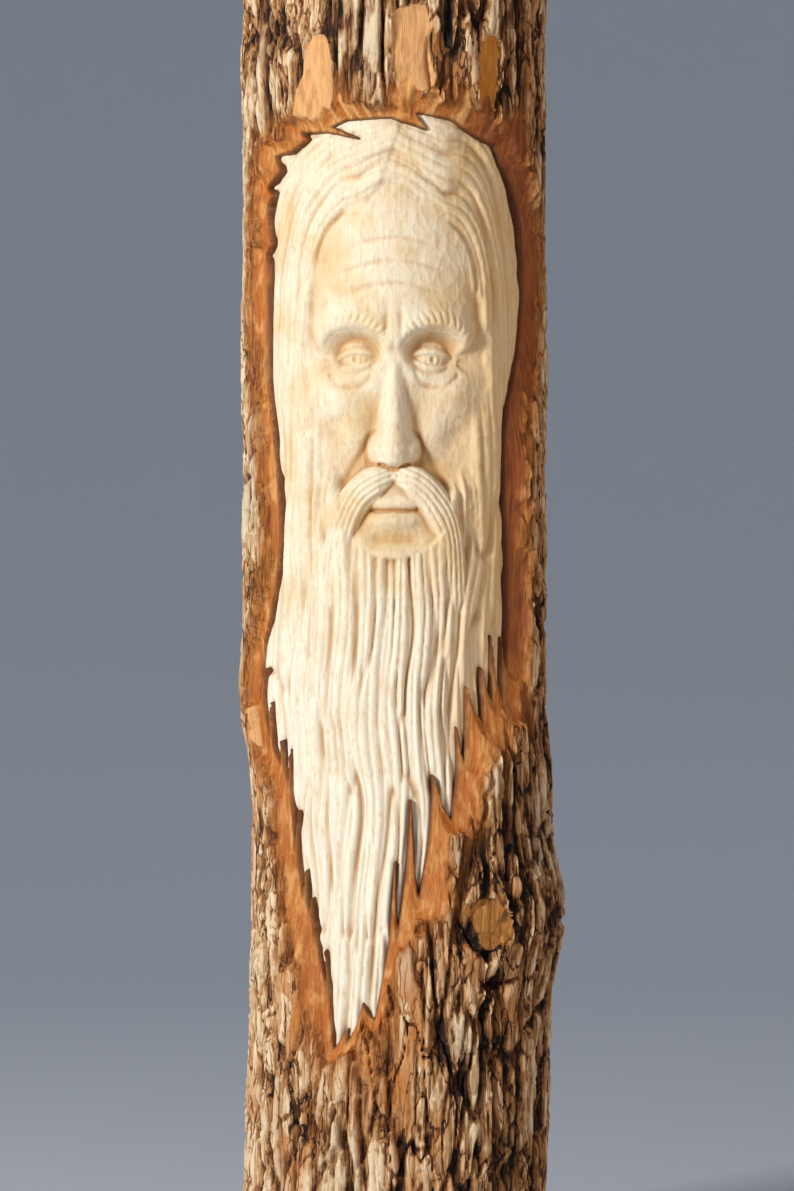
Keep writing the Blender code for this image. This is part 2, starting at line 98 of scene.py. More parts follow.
def curve(points, steps=6):
    """More points on a smooth curve through the given ones."""
    p = np.array([points[0], *points, points[-1]], float)
    out = []
    for i in range(1, len(p) - 2):
        for t in np.arange(steps) / steps:
            rise = (p[i + 1] - p[i - 1]) * t
            bend = (2 * p[i - 1] - 5 * p[i] + 4 * p[i + 1] - p[i + 2]) * t**2
            turn = (3 * p[i] - p[i - 1] - 3 * p[i + 1] + p[i + 2]) * t**3
            out.append(tuple(p[i] + (rise + bend + turn) / 2))
    return out + [tuple(p[-1])]


def to_segment(a, v, start, end):
    """Offset of each point from its nearest point on a segment, and the share of it reached."""
    dx, dy = end[0] - start[0], end[1] - start[1]
    length_squared = max(dx * dx + dy * dy, 1e-9)
    t = np.clip(((a - start[0]) * dx + (v - start[1]) * dy) / length_squared, 0, 1)
    return a - start[0] - t * dx, v - start[1] - t * dy, t


def along(a, v, points):
    """Distance to a line of points, signed by its side, and the share of its length reached."""
    best = np.full(a.shape, np.inf)
    share = np.zeros(a.shape)
    side = np.ones(a.shape)
    for i, (start, end) in enumerate(zip(points, points[1:])):
        off_x, off_y, t = to_segment(a, v, start, end)
        distance = np.hypot(off_x, off_y)
        nearer = distance < best
        best = np.where(nearer, distance, best)
        share = np.where(nearer, (i + t) / (len(points) - 1), share)
        turn = (end[0] - start[0]) * off_y - (end[1] - start[1]) * off_x
        side = np.where(nearer, np.where(turn < 0, -1.0, 1.0), side)
    return best * side, share


def outline_distance(a, v, corners):
    """Distance to a closed outline, negative inside it."""
    best = np.full(a.shape, np.inf)
    inside = np.zeros(a.shape, bool)
    for start, end in zip(corners, corners[1:] + corners[:1]):
        off_x, off_y, _ = to_segment(a, v, start, end)
        best = np.minimum(best, np.hypot(off_x, off_y))
        if start[1] != end[1]:
            crossing = (end[0] - start[0]) * (v - start[1]) / (end[1] - start[1]) + start[0]
            inside ^= ((start[1] > v) != (end[1] > v)) & (a < crossing)
    return np.where(inside, -best, best)


def hashed(i, j, seed):
    """A scattered number from 0 to 1 for each whole pair i, j."""
    n = i.astype(np.int64) * 374761393 + j.astype(np.int64) * 668265263 + seed * 69069
    n = (n ^ (n >> 13)) * 1274126177
    return ((n ^ (n >> 16)) & 0xFFFF) / 0xFFFF


def noise(s, t, seed, wrap=0):
    """Smooth wandering from -1 to 1. Where wrap is given, s repeats after that many cells."""
    i, j = np.floor(s), np.floor(t)
    ease_s, ease_t = smooth(0, 1, s - i), smooth(0, 1, t - j)

    def corner(di, dj):
        return hashed(np.mod(i + di, wrap) if wrap else i + di, j + dj, seed)

    low = corner(0, 0) * (1 - ease_s) + corner(1, 0) * ease_s
    high = corner(0, 1) * (1 - ease_s) + corner(1, 1) * ease_s
    return 2 * (low * (1 - ease_t) + high * ease_t) - 1


def strands(q, sharpness=0.75):
    """Round strands side by side, one to each whole step of q: 0 on their backs, -1 in the cuts."""
    return -(np.abs(2 * (q - np.floor(q)) - 1) ** (2 / sharpness))


def off_lines(s, t, seed, wrap=0):
    """Distance to lines that wander up the log, join and part again, in cells across them."""
    def wave(s):
        return noise(s, t, seed, wrap) + 0.3 * noise(2 * s, 2.3 * t, seed + 1, 2 * wrap)

    here = wave(s)
    steepness = np.abs(wave(s + 0.15) - here) / 0.15
    return np.abs(here) / (steepness + 0.5)


def plates(s, t, seed, wrap):
    """How far inside its own plate of a cracked pattern each point is, and the plate's number."""
    i, j = np.floor(s), np.floor(t)
    first = np.full(s.shape, np.inf)
    second = np.full(s.shape, np.inf)
    own = np.zeros(s.shape)
    for di in (-1, 0, 1):
        for dj in (-1, 0, 1):
            column, row = np.mod(i + di, wrap), j + dj
            x = i + di + 0.1 + 0.8 * hashed(column, row, seed)
            y = row + 0.1 + 0.8 * hashed(column, row, seed + 1)
            distance = np.hypot(s - x, t - y)
            second = np.minimum(second, np.maximum(first, distance))
            own = np.where(distance < first, hashed(column, row, seed + 2), own)
            first = np.minimum(first, distance)
    return second - first, own


# The stop line round hair and beard, as seen from the front: head units off the midline and
# off the eye line. A lock is its tip and the top of the slit that parts it from the next.
CROWN = [(-61, 53), (-58.5, 58), (-60.5, 77), (-57.5, 82), (-60.5, 86), (-54, 93),
         (-56.5, 101), (-49, 102), (-41, 107), (-44, 111), (-31, 110), (-17, 106.6),
         (-29.5, 112.5), (-22, 115.5), (-2, 116.5), (15.5, 111), (10, 118.8), (27, 116),
         (38, 109), (48, 104.5), (51, 95.6), (56.5, 84.5)]
RIGHT_SIDE = [(60, 68), (61.5, 40), (59, 5), (53, -34), (54, -100)]
RIGHT_LOCKS = [(53, -152, 51, -136), (50.5, -167, 46, -135), (45.5, -168, 42, -151),
               (40, -177.5, 34, -160), (29.5, -197, 28, -179.5), (23, -225, 15, -203),
               (7.5, -265, 4, -215), (-2.5, -282, -3.5, -245), (-12.5, -321.5, -18.5, -313.5),
               (-25.5, -334, -25, -326)]
BEARD_TIP = (-31.5, -337)
LEFT_LOCKS = [(-35, -310, -37, -288.5), (-41.5, -285, -41.5, -275), (-44, -271, -43.5, -263.5),
              (-47, -264, -46, -250), (-51, -240.5, -49.5, -221), (-54, -211, -52.5, -191),
              (-57, -199, -56, -187), (-61, -191, -58, -168), (-62, -167, -60, -151)]
LEFT_SIDE = [(-61.5, -140), (-54, -94), (-56, -50), (-60, -8), (-60, 48)]


def round_the_wood(x, radius):
    """Where a place seen from the front lies on the unrolled wood, in head units."""
    sine = max(-0.985, min(0.985, x * UNIT / radius))
    return math.asin(sine) * WOOD_RADIUS / UNIT


def hair_outline():
    """The stop line: crown, right side, right locks, tip, left locks and left side in turn."""
    right = []
    x, v = RIGHT_SIDE[-1]
    for tip_x, tip_v, slit_x, slit_v in RIGHT_LOCKS:
        right += [(x + 0.3 * (tip_x - x), v + 0.5 * (tip_v - v)), (tip_x, tip_v)]
        right += [(0.5 * (tip_x + slit_x), tip_v + 0.3 * (slit_v - tip_v)), (slit_x, slit_v)]
        x, v = slit_x, slit_v
    left = []
    for tip_x, tip_v, slit_x, slit_v in LEFT_LOCKS:
        left += [(tip_x + 1.2, tip_v), (slit_x, slit_v), (tip_x, tip_v)]
    seen = CROWN + curve(RIGHT_SIDE, 3) + right + [BEARD_TIP] + left + curve(LEFT_SIDE, 3)
    return [(round_the_wood(x, WOOD_RADIUS - HAIR_DEPTH - STOP_CUT), v) for x, v in seen]


def block(a, v):
    """The face roughed out: forehead, brow, cheeks and the muzzle under the moustache."""
    middle = groove(a**2, 42**2)
    h = -3.2 - 9.0 * middle * smooth(20, 6, v) * smooth(-98, -64, v)
    h = h - 1.4 * smooth(70, 84, v) * smooth(96, 84, v) * groove(a**2, 38**2)
    h = soft_max(h, dome(a, v, (0, 46), (50, 54), -1.7, 4.4), 2.0)
    for level, reach in ((34, 30), (45, 34), (56, 27)):
        bend = v - level - 2.2 * np.cos(a / 11) + 0.0022 * a * a
        h = h - 0.75 * groove(bend, 1.5) * smooth(reach, reach - 14, a)
    brow, share = along(a, v, curve([(2.5, 10), (11, 15.5), (23, 17.5), (35, 12.5), (44, 2)]))
    spread = 6.0 + 6.0 * smooth(-1.5, 1.5, brow)
    ridge = -0.9 - 3.2 * (brow / spread) ** 2 - 7.0 * smooth(0.8, 1.0, share)
    h = soft_max(h, ridge, 2.2)
    h = h - 2.4 * groove(a - 48, 7) * groove(v - 24, 18)
    h = h - 1.5 * groove(a - 3.6, 1.5) * groove(v - 17, 6.5)
    h = soft_max(h, dome(a, v, (37, -19), (19, 15), -3.2, 5.5), 3.5)
    h = soft_max(h, dome(a, v, (25, -33), (14, 15), -7.2, 5.0), 3.0)
    h = soft_max(h, dome(a, v, (0, -76), (25, 27), -5.8, 5.5), 3.0)
    fold, share = along(a, v, curve([(14, -39), (19, -46), (26, -55), (33, -66)]))
    return h - (1.9 - 1.0 * share) * groove(fold, 1.9)


def eyes(h, a, v):
    """Sockets, eyeballs, heavy lids half closed over them, and the folds round them."""
    socket = dome(a, v, (21.5, 2), (17, 11.5), -13.6, -9.0)
    h = soft_min(h, np.maximum(socket, -14.5), 2.0)
    ball = dome(a, v, (22, -1.0), (13.5, 11.0), -7.4, 5.6)
    across = (a - 22) / 12.0
    upper = -0.6 + 2.6 * (1 - across**2) - 1.1 * across
    lower = -0.8 - 3.1 * (1 - across**2) - 1.1 * across
    opening = np.minimum(upper - v, v - lower)
    lids = ball + 1.7 * (1 - smooth(-0.5, 0.6, opening))
    near = smooth(14, 9, np.abs(a - 22))
    lids = lids - 1.1 * groove(v - upper - 3.6, 0.9) * near
    lids = lids - 0.8 * groove(v - lower + 3.6, 0.9) * near
    iris = np.hypot(a - 21.8, v + 0.6)
    seen = smooth(0.1, 0.7, opening)
    lids = lids - seen * (0.4 * groove(iris - 3.9, 0.6) + 1.0 * smooth(1.9, 0.9, iris))
    h = soft_max(h, lids, 1.0)
    bag, _ = along(a, v, curve([(11.5, -6), (15, -11.5), (22, -14.2), (30, -13), (36, -8.5)]))
    h = h - 1.1 * groove(bag, 1.5)
    for tilt in (-4.5, 0.0, 4.5):
        crow, reach = along(a, v, [(37, -1 + 0.5 * tilt), (45, -1 + 1.5 * tilt)])
        h = h - 0.7 * (1 - reach) * groove(crow, 0.9)
    return h


def nose(h, a, v):
    """A straight ridge with flat sides, a round ball and wings, cut square underneath."""
    ridge = np.interp(v, [-56, -50, -45, -39, -28, -12, 3, 10, 22],
                      [-3, -0.8, 0.3, 0.1, -1.2, -3.0, -5.6, -4.4, -3])
    half = np.interp(v, [-50, -42, -28, -8, 6, 16], [6.2, 5.8, 4.2, 3.8, 4.2, 5.0])
    slope = np.interp(v, [-46, -10, 6, 16], [1.15, 1.2, 1.0, 0.7])
    form = ridge - slope * (np.hypot(a, half) - half) - 0.12 * np.maximum(v - 16, 0) ** 2
    form = soft_max(form, dome(a, v, (9.3, -44.6), (6.3, 8.0), -5.0, 5.2), 2.2)
    underside = -1.2 + 2.6 * (v + 51.5 - 0.012 * a * a)
    h = soft_max(h, soft_min(form, underside, 1.8), 1.6)
    crease = np.hypot(a - 8.6, (v + 45.0) / 1.15) - 8.6
    h = h - 0.8 * groove(crease, 1.0) * smooth(8, 11, a) * smooth(-54, -50, v)
    nostril = np.hypot((a - 5.8) / 3.2, (v + 52.6 - 0.2 * (a - 5.8)) / 1.7)
    return h - 3.6 * smooth(1.25, 0.5, nostril)


def mouth(h, a, v):
    """Closed, level lips in the bare hollow under the moustache."""
    h = soft_max(h, dome(a, v, (0, -70.5), (17.0, 4.8), -4.6, 3.0) - 0.6 * groove(a, 2.2), 1.2)
    h = soft_max(h, dome(a, v, (0, -79.3), (14.0, 5.0), -3.5, 3.2), 1.2)
    line = v + 74.6 - 0.0035 * a * a - 0.5 * groove(a, 4)
    h = h - 2.4 * groove(line, 0.9) * smooth(21, 15, a)
    return h - 2.4 * groove(v + 88.5, 3.8) * smooth(18, 8, a)


def eyebrows(h, a, v):
    """Short cuts that fan up and outward from the brow ridge."""
    brow, share = along(a, v, curve([(4, 11), (12, 16.5), (23, 19), (34, 15), (41, 7)]))
    fan = 13 * share + 0.11 * brow * (0.4 + share)
    length = 5.5 + 2.5 * noise(9 * share, 0 * v, 41)
    hairs = smooth(length, 1.0, np.abs(brow)) * smooth(-3.5, 0.5, brow) * smooth(0.0, 0.08, share)
    return h + hairs * (0.5 + 1.1 * strands(fan, 0.8)) * smooth(1.0, 0.75, share)


def carving(u, v):
    """Height of the carved wood over the bare wood, in head units: face, hair and beard."""
    a = np.abs(u)
    radius = WOOD_RADIUS / UNIT
    x = radius * np.sin(np.clip(u / radius, -1.5, 1.5))
    wave = noise(x / 21, v / 45, 21)
    ripple = noise(x / 9, v / 28, 22)
    h = mouth(nose(eyes(block(a, v), a, v), a, v), a, v)

    # Hair combed from a parting, its strands arching over the forehead and down the sides.
    off_oval = 46.5 * (np.hypot(x / 46.5, (v + 8) / 90) - 1)
    cover = smooth(-1.0, 2.6, off_oval + 1.6 * noise(x / 6, v / 9, 31)) * smooth(-60, -25, v)
    swell = smooth(0, 40, v)
    arch = 46.5 * (((x / 46.5) ** 4 + ((v + 8) / 90) ** 4 + 0.001) ** 0.25 - 1)
    parting = x + 3 - 0.35 * (v - 93)
    combed = arch + 0.09 * np.abs(parting) * smooth(25, 85, v) + 2.2 * wave
    fine = strands(combed / 2.7 + 0.3 * ripple)
    lock = strands(combed / 8.6 + 0.25 * ripple + 0.3, 0.9)
    gouge = groove(off_lines(combed / 5, (v - 0.6 * x) / 42, 33), 0.2)
    hair = -2.3 + 0.8 * wave + (0.5 + 0.35 * swell) * fine + (0.5 + 1.2 * swell) * lock
    hair = hair - (0.6 + 0.3 * swell) * gouge
    side = 1.2 * smooth(5, -4, parting) * groove(parting, 20) - 0.4 * groove(parting, 1.4)
    hair = hair + side * smooth(72, 88, v)
    h = h * (1 - cover) + hair * cover

    # Beard from the cheeks and from a ledge under the lip, hanging to the tips.
    bare = np.hypot(a / 26, (v + 74) / 23)
    cheek = np.hypot(x / 43, (v + 10) / 76) + 0.03 * ripple
    ledge = smooth(1.0, 1.1, bare) * smooth(0.93, 1.05, cheek) * smooth(-50, -68, v)
    ledge = np.maximum(ledge, smooth(38, 45, np.abs(x)) * smooth(-5, -45, v))
    lean = 0.055 * np.minimum(v + 90, 0)
    fine = strands((x - lean) / 4.1 + 0.7 * wave + 0.25 * ripple)
    lock = strands((x - lean) / 12.5 + 0.5 * wave + 0.35, 0.9)
    gouge = groove(off_lines((x - lean) / 6.5 + 0.4 * wave, v / 62, 35), 0.16)
    body = -1.8 - 1.4 * groove(v + 98, 20) * groove(a, 28)
    beard = body + 0.9 * wave + 1.1 * fine + 1.4 * lock - 1.7 * gouge
    h = h * (1 - ledge) + beard * ledge

    # Moustache: two tapering sweeps from under the nose that run out on the beard.
    sweep = [(1.5, -57.5), (10, -60), (20, -67.5), (27.5, -79), (32, -94), (34.5, -114), (35, -134)]
    off, share = along(a, v, curve(sweep))
    width = np.interp(share, [0, 0.2, 0.5, 0.8, 1], [4.0, 8.0, 8.5, 6.5, 3.0])
    lift = np.interp(share, [0, 0.15, 0.6, 1], [-4.8, -2.2, -1.4, -2.6])
    beyond = np.abs(off) / width
    fine = strands(off / 2.8 + 1.2 * share + 0.4 * ripple) * smooth(1.2, 0.9, beyond)
    pad = lift - 3.4 * beyond**4 + 1.2 * fine
    on_pad = smooth(1.25, 1.0, beyond) * smooth(1.0, 0.85, share)
    h = np.where(on_pad > 0, soft_max(h, pad - 6 * (1 - on_pad), 0.6), h)
    return eyebrows(h, a, v)


def trunk_sway(v):
    """The log's own bend: how far its middle stands to the side, in head units."""
    return 4.2 * (smooth(-150, -215, v) - smooth(-280, FOOT, v))


def trunk_swell(u, v):
    """The swelling round the old branch on the right, and a smaller one on the left."""
    knot = 8.5 * groove(u - 78, 32) * groove(v + 272, 25)
    return knot + 2.6 * groove(u + 98, 34) * groove(v + 168, 20)


def on_the_log(angle, v, relief):
    """Places in the row's frame for angles round the log, heights off the eyes and relief."""
    radius = WOOD_RADIUS + UNIT * (relief + trunk_swell(angle * WOOD_RADIUS / UNIT, v))
    x = radius * np.sin(angle) + UNIT * trunk_sway(v)
    stretched = np.where(v < CHIN, CHIN + (v - CHIN) * BEARD_STRETCH, v)
    return np.stack([x, -radius * np.cos(angle), EYE_LINE + UNIT * stretched], axis=-1)


def blurred(values, reach):
    """The values averaged over a square of that many samples each way."""
    for axis in (0, 1):
        padded = np.pad(values, [(reach + 1, reach) if k == axis else (0, 0) for k in (0, 1)], "edge")
        total = np.cumsum(padded, axis=axis)
        low = np.take(total, range(values.shape[axis]), axis=axis)
        high = np.take(total, range(2 * reach + 1, 2 * reach + 1 + values.shape[axis]), axis=axis)
        values = (high - low) / (2 * reach + 1)
    return values


def solid(name, places, faces, painted, triangles, second_finish=None):
    """An object of these faces, thinned to so many triangles, with values painted on its points."""
    mesh = bpy.data.meshes.new(name)
    mesh.from_pydata(places.reshape(-1, 3).tolist(), [], faces)
    for label, values in painted.items():
        mesh.attributes.new(label, "FLOAT", "POINT").data.foreach_set("value", values.ravel())
    if second_finish is not None:
        mesh.polygons.foreach_set("material_index", second_finish)
    made = bpy.data.objects.new(name, mesh)
    bpy.context.scene.collection.objects.link(made)
    corners = sum(len(face) - 2 for face in faces)
    if corners > triangles:
        thin = made.modifiers.new("thin", "DECIMATE")
        thin.ratio = triangles / corners
        bpy.context.view_layer.update()
        evaluated = made.evaluated_get(bpy.context.evaluated_depsgraph_get())
        made.data = bpy.data.meshes.new_from_object(evaluated)
        made.modifiers.clear()
        made.data.name = name
    made.data.shade_smooth()
    return made


CARVING_WIDTH = 90
CARVING_TOP = 123
CARVING_FOOT = -346
CUT_WIDTH = 5.5
CUT_LENGTH = 9
CUT_STEP = 0.68
BEARD_STEP = 1.5
WOOD_TRIANGLES = 196000

angles = np.arange(-CARVING_WIDTH, CARVING_WIDTH + CUT_STEP, CUT_STEP) * UNIT / WOOD_RADIUS
levels = np.concatenate([np.arange(CARVING_FOOT, CHIN, BEARD_STEP), np.arange(CHIN, CARVING_TOP, CUT_STEP)])
angle, v = np.meshgrid(angles, levels)
u = angle * WOOD_RADIUS / UNIT
off_hair = outline_distance(u, v, hair_outline())
arris, _ = plates(u / CUT_WIDTH + 0.5 * noise(u / 8, v / 8, 82), v / CUT_LENGTH, 81, 1000)
facets = 0.20 * smooth(0.4, 0.0, arris) + 0.14 * noise(u / 3.4, v / 6.5, 84)
facets = facets * smooth(75, 50, np.abs(u)) * smooth(CHIN - 20, CHIN, v)
relief = carving(u, v) + facets - STOP_CUT / UNIT * smooth(-3.5, 0, off_hair)
# Painted shade: how far each place lies below the carving round it, finely and broadly. The fine measure
# also stands for dust held in the torn grain of the cuts.
cut_shade_and_dust = np.clip((blurred(blurred(relief, 4), 4) - relief) / 1.6, -1, 1)
shade = np.clip((blurred(blurred(relief, 14), 14) - relief) / 4.0, -1, 1)
relief = np.maximum(relief - 3 * np.maximum(off_hair, 0), -16)

count, across = u.shape
index = np.arange(count * across).reshape(count, across)
front = np.stack([index[:-1, :-1], index[:-1, 1:], index[1:, 1:], index[1:, :-1]], axis=-1)
back = np.stack([index[:-1, -1], index[:-1, 0], index[1:, 0], index[1:, -1]], axis=-1)
faces = front.reshape(-1, 4).tolist() + back.tolist()
faces += [index[0, ::-1].tolist(), index[-1].tolist()]
# Painted shade: the wood's colour turns tan toward its right side.
carving_piece = solid("carved_face_and_beard", on_the_log(angle, v, relief), faces,
                      {"cut_shade_and_dust": cut_shade_and_dust, "shade": shade, "right_side_shade": smooth(10, 62, u),
                       "whiter_beard": smooth(CHIN + 20, CHIN - 30, v) * smooth(45, 10, u)}, WOOD_TRIANGLES)
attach(carving_piece, "root")
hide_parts("carved_log")


def linear(code):
    """An sRGB hex colour as linear light, with full alpha."""
    parts = [int(code[k:k + 2], 16) / 255 for k in (1, 3, 5)]
    return [c / 12.92 if c <= 0.04045 else ((c + 0.055) / 1.055) ** 2.4 for c in parts] + [1.0]


def add(tree, kind, inputs=None, output=0, **settings):
    """Adds a node with its settings and links, and gives the output asked for. A text is a hex colour."""
    made = tree.nodes.new("ShaderNode" + kind)
    for name, value in settings.items():
        setattr(made, name, value)
    for name, value in (inputs or {}).items():
        socket = made.inputs[name]
        if isinstance(value, bpy.types.NodeSocket):
            tree.links.new(value, socket)
        else:
            socket.default_value = linear(value) if isinstance(value, str) else value
    return made.outputs[output]


# Sapwood of a pale hardwood, fresh from the knife and unfinished. It is close to white, with honey
# patches, fine streaks along the trunk, and the yearly rings cut through as faint contour lines.
# In the cuts it deepens to tan, partly dust held in the torn grain and partly painted shade, and
# painted shade tints it tan in broad hollows and toward its right side. The beard is the whitest,
# fading back toward its right.
sapwood = bpy.data.materials.new("knife_cut_sapwood")
sapwood.use_nodes = True
tree = sapwood.node_tree
shader = tree.nodes["Principled BSDF"]
STREAK = 0.0011
STREAK_LENGTH = 0.026
SPECK = 0.0016
PATCH = 0.024
RING = 0.0026
place = add(tree, "TexCoord", output="Object")
along_trunk = add(tree, "Mapping", {"Vector": place, "Scale": (1, 1, STREAK / STREAK_LENGTH)})
streak = add(tree, "TexNoise", {"Vector": along_trunk, "Scale": 1 / STREAK, "Detail": 4.0})
stretched = add(tree, "Mapping", {"Vector": place, "Scale": (1, 1, 0.4)})
speck = add(tree, "TexNoise", {"Vector": stretched, "Scale": 1 / SPECK, "Detail": 3.0})
patch = add(tree, "TexNoise", {"Vector": place, "Scale": 1 / PATCH, "Detail": 3.0})
flat = add(tree, "VectorMath", {0: place, 1: (1, 1, 0)}, operation="MULTIPLY")
from_pith = add(tree, "VectorMath", {0: flat}, "Value", operation="LENGTH")
uneven = add(tree, "Math", {0: patch, 1: 3 * RING, 2: from_pith}, operation="MULTIPLY_ADD")
turn = add(tree, "Math", {0: uneven, 1: 2 * math.pi / RING}, operation="MULTIPLY")
year = add(tree, "Math", {0: turn}, operation="SINE")
ring = add(tree, "MapRange", {0: year, 1: 0.2, 2: 1.0, 3: 0.0, 4: 0.24})
broken = add(tree, "MapRange", {0: speck, 1: 0.35, 2: 0.6})
ring = add(tree, "Math", {0: ring, 1: broken}, operation="MULTIPLY")
cut_shade_and_dust_fac = add(tree, "Attribute", output="Fac", attribute_name="cut_shade_and_dust")
broad_hollow_shade = add(tree, "Attribute", output="Fac", attribute_name="shade")
right_side_shade = add(tree, "Attribute", output="Fac", attribute_name="right_side_shade")
whiter_beard = add(tree, "Attribute", output="Fac", attribute_name="whiter_beard")

honey = add(tree, "MapRange", {0: patch, 1: 0.45, 2: 0.72})
ground = add(tree, "Mix", {0: honey, 6: "#F2E6CC", 7: "#E4C998"}, 2, data_type="RGBA")
# The beard is made whiter, fading back toward its right side.
whitened_beard_mix = add(tree, "MapRange", {0: whiter_beard, 1: 0.0, 2: 1.0, 3: 0.0, 4: 0.7})
ground = add(tree, "Mix", {0: whitened_beard_mix, 6: ground, 7: "#F5EFDF"}, 2, data_type="RGBA")
# Painted shade: tan toward the right side.
right_side_shade_mix = add(tree, "MapRange", {0: right_side_shade, 1: 0.0, 2: 1.0, 3: 0.0, 4: 0.7})
ground = add(tree, "Mix", {0: right_side_shade_mix, 6: ground, 7: "#F0C88A"}, 2, data_type="RGBA")
grained = add(tree, "MapRange", {0: streak, 1: 0.5, 2: 0.78, 3: 0.0, 4: 0.5})
ground = add(tree, "Mix", {0: grained, 6: ground, 7: "#D6B078"}, 2, data_type="RGBA")
ringed = add(tree, "Mix", {0: ring, 6: ground, 7: "#CFA164"}, 2, data_type="RGBA")
dusty = add(tree, "MapRange", {0: speck, 1: 0.60, 2: 0.72, 3: 0.0, 4: 0.35})
dusted = add(tree, "Mix", {0: dusty, 6: ringed, 7: "#C99E60"}, 2, data_type="RGBA")
# Painted shade and dust: the cuts turn tan.
cut_shade_and_dust_mix = add(tree, "MapRange", {0: cut_shade_and_dust_fac, 1: 0.10, 2: 1.0, 3: 0.0, 4: 0.70})
with_cut_shade_and_dust = add(tree, "Mix", {0: cut_shade_and_dust_mix, 6: dusted, 7: "#B98645"}, 2, data_type="RGBA")
# Painted shade in the broad hollows of the carving.
broad_shade_mix = add(tree, "MapRange", {0: broad_hollow_shade, 1: 0.0, 2: 1.0, 3: 0.0, 4: 0.6})
colour = add(tree, "Mix", {0: broad_shade_mix, 6: with_cut_shade_and_dust, 7: "#BF8D4C"}, 2, data_type="RGBA")
tree.links.new(colour, shader.inputs["Base Color"])
shader.inputs["Roughness"].default_value = 0.62
shader.inputs["IOR"].default_value = 1.45
torn = add(tree, "Bump", {"Height": speck, "Strength": 0.25, "Distance": 0.0004})
grain = add(tree, "Bump", {"Height": streak, "Strength": 0.35, "Distance": 0.0004, "Normal": torn})
tree.links.new(grain, shader.inputs["Normal"])
carving_piece.data.materials.append(sapwood)


# The rest of the log keeps its bark. Round the carving it is pared to the orange inner layer
# in a band of knife cuts, and elsewhere it is thick outer bark, cracked along the trunk into
# flaky plates. Both ends are sawn square. It is meshed as a front and a back for its size.

INNER_BARK = 0.0048
OUTER_BARK = 0.0042
FURROW_DEPTH = 0.0050
RIDGE_WIDTH = 0.0095
RIDGE_LENGTH = 0.065
FLAKE_WIDTH = 0.0060
FLAKE_LENGTH = 0.024
STRIP_WIDTH = 0.0034
STRIP_LENGTH = 0.030
FIBRE_WIDTH = 0.0012
FIBRE_LENGTH = 0.014
FLAKE_LAYERS = 5
BAND_WIDTH = 0.0065
BAND_LIP = 0.0008

# Places where a knife took the bark's back off flat, the last one the scar of an old branch:
# middle, half width and half height, seen from the front, lean, and how it widens upward.
SLICES = [(-38, 136, 8.5, 21, 0.12, -0.4), (9, 149, 9, 21, -0.05, -0.05), (45, 138, 5.5, 19, 0.05, 0),
          (-69, -176, 6, 15, 0.1, -0.3), (40.5, -275, 9, 11, -0.25, 0.35)]
KNOT = (40, -278)
KNOT_RADIUS = 8
KNOT_EYE = -291
KNOT_FOLD = -305

# Width of the pared band down its left and its right side: heights, each with a share of BAND_WIDTH.
LEFT_BAND = [(-337, 0.8), (-311, 1.2), (-262, 0.8), (-205, 0.9), (-165, 0.8), (-115, 0.35), (5, 0.4),
             (27, 1.1), (60, 0.5), (100, 0.9)]
RIGHT_BAND = [(-337, 0.7), (-305, 0.4), (-262, 1.3), (-225, 1.1), (-190, 1.5), (-150, 1.2), (100, 1.1)]


def even(number):
    """The nearest even whole number, at least 6."""
    return max(6, 2 * round(number / 2))


def around_the_log(u, v):
    """Share of the way round the log, with the bark's lines parted round the old branch."""
    across = u - round_the_wood(KNOT[0], WOOD_RADIUS + INNER_BARK)
    away = np.maximum(across**2 + (0.75 * (v - KNOT[1])) ** 2, KNOT_RADIUS**2)
    parted = across * KNOT_RADIUS**2 / away * groove(across, 6 * KNOT_RADIUS)
    return (u - parted) * UNIT / (2 * math.pi * WOOD_RADIUS) + 0.5


def bark_form(u, v):
    """The outer bark from 0 in a furrow to 1 on its plates, with its flakes, strips and fibres."""
    girth = 2 * math.pi * (WOOD_RADIUS + INNER_BARK)
    around = around_the_log(u, v)

    def wandering(width, length, seed):
        columns = even(girth / width)
        return noise(around * columns, v * UNIT / length, seed, columns)

    tall = v * UNIT / RIDGE_LENGTH
    columns = even(girth / RIDGE_WIDTH)
    weave = 0.3 * noise(around * columns, 2.6 * tall, 51, columns)
    furrow = off_lines(around * columns + weave, tall, 53, columns)
    swell = noise(around * columns / 2, 1.4 * tall, 57, columns // 2)
    ridge = smooth(0.03, 0.26, furrow) * (0.86 + 0.14 * swell)

    columns = even(girth / FLAKE_WIDTH)
    bend = 0.5 * wandering(2 * FLAKE_WIDTH, 0.7 * FLAKE_LENGTH, 52)
    cracked, flake = plates(around * columns + bend, v * UNIT / FLAKE_LENGTH + 0.6 * bend, 65, columns)
    fibre = wandering(FIBRE_WIDTH, FIBRE_LENGTH, 69)
    columns = even(girth / STRIP_WIDTH)
    strip = off_lines(around * columns + 0.5 * bend + 0.2 * fibre, v * UNIT / STRIP_LENGTH, 67, columns)
    strip = smooth(0.02, 0.45, strip)

    level = FLAKE_LAYERS * ridge + 1.6 * (flake - 0.5) + 0.9 * strip + 0.4 * fibre
    stepped = (np.floor(level) + smooth(0.35, 0.65, level - np.floor(level))) / FLAKE_LAYERS
    crack = (1 - smooth(0.0, 0.12, cracked)) * smooth(0.3, 0.8, ridge)
    form = 0.45 * ridge + 0.5 * stepped - 0.14 * crack - 0.16 * (1 - strip) + 0.05 * fibre
    return form, flake, strip, fibre


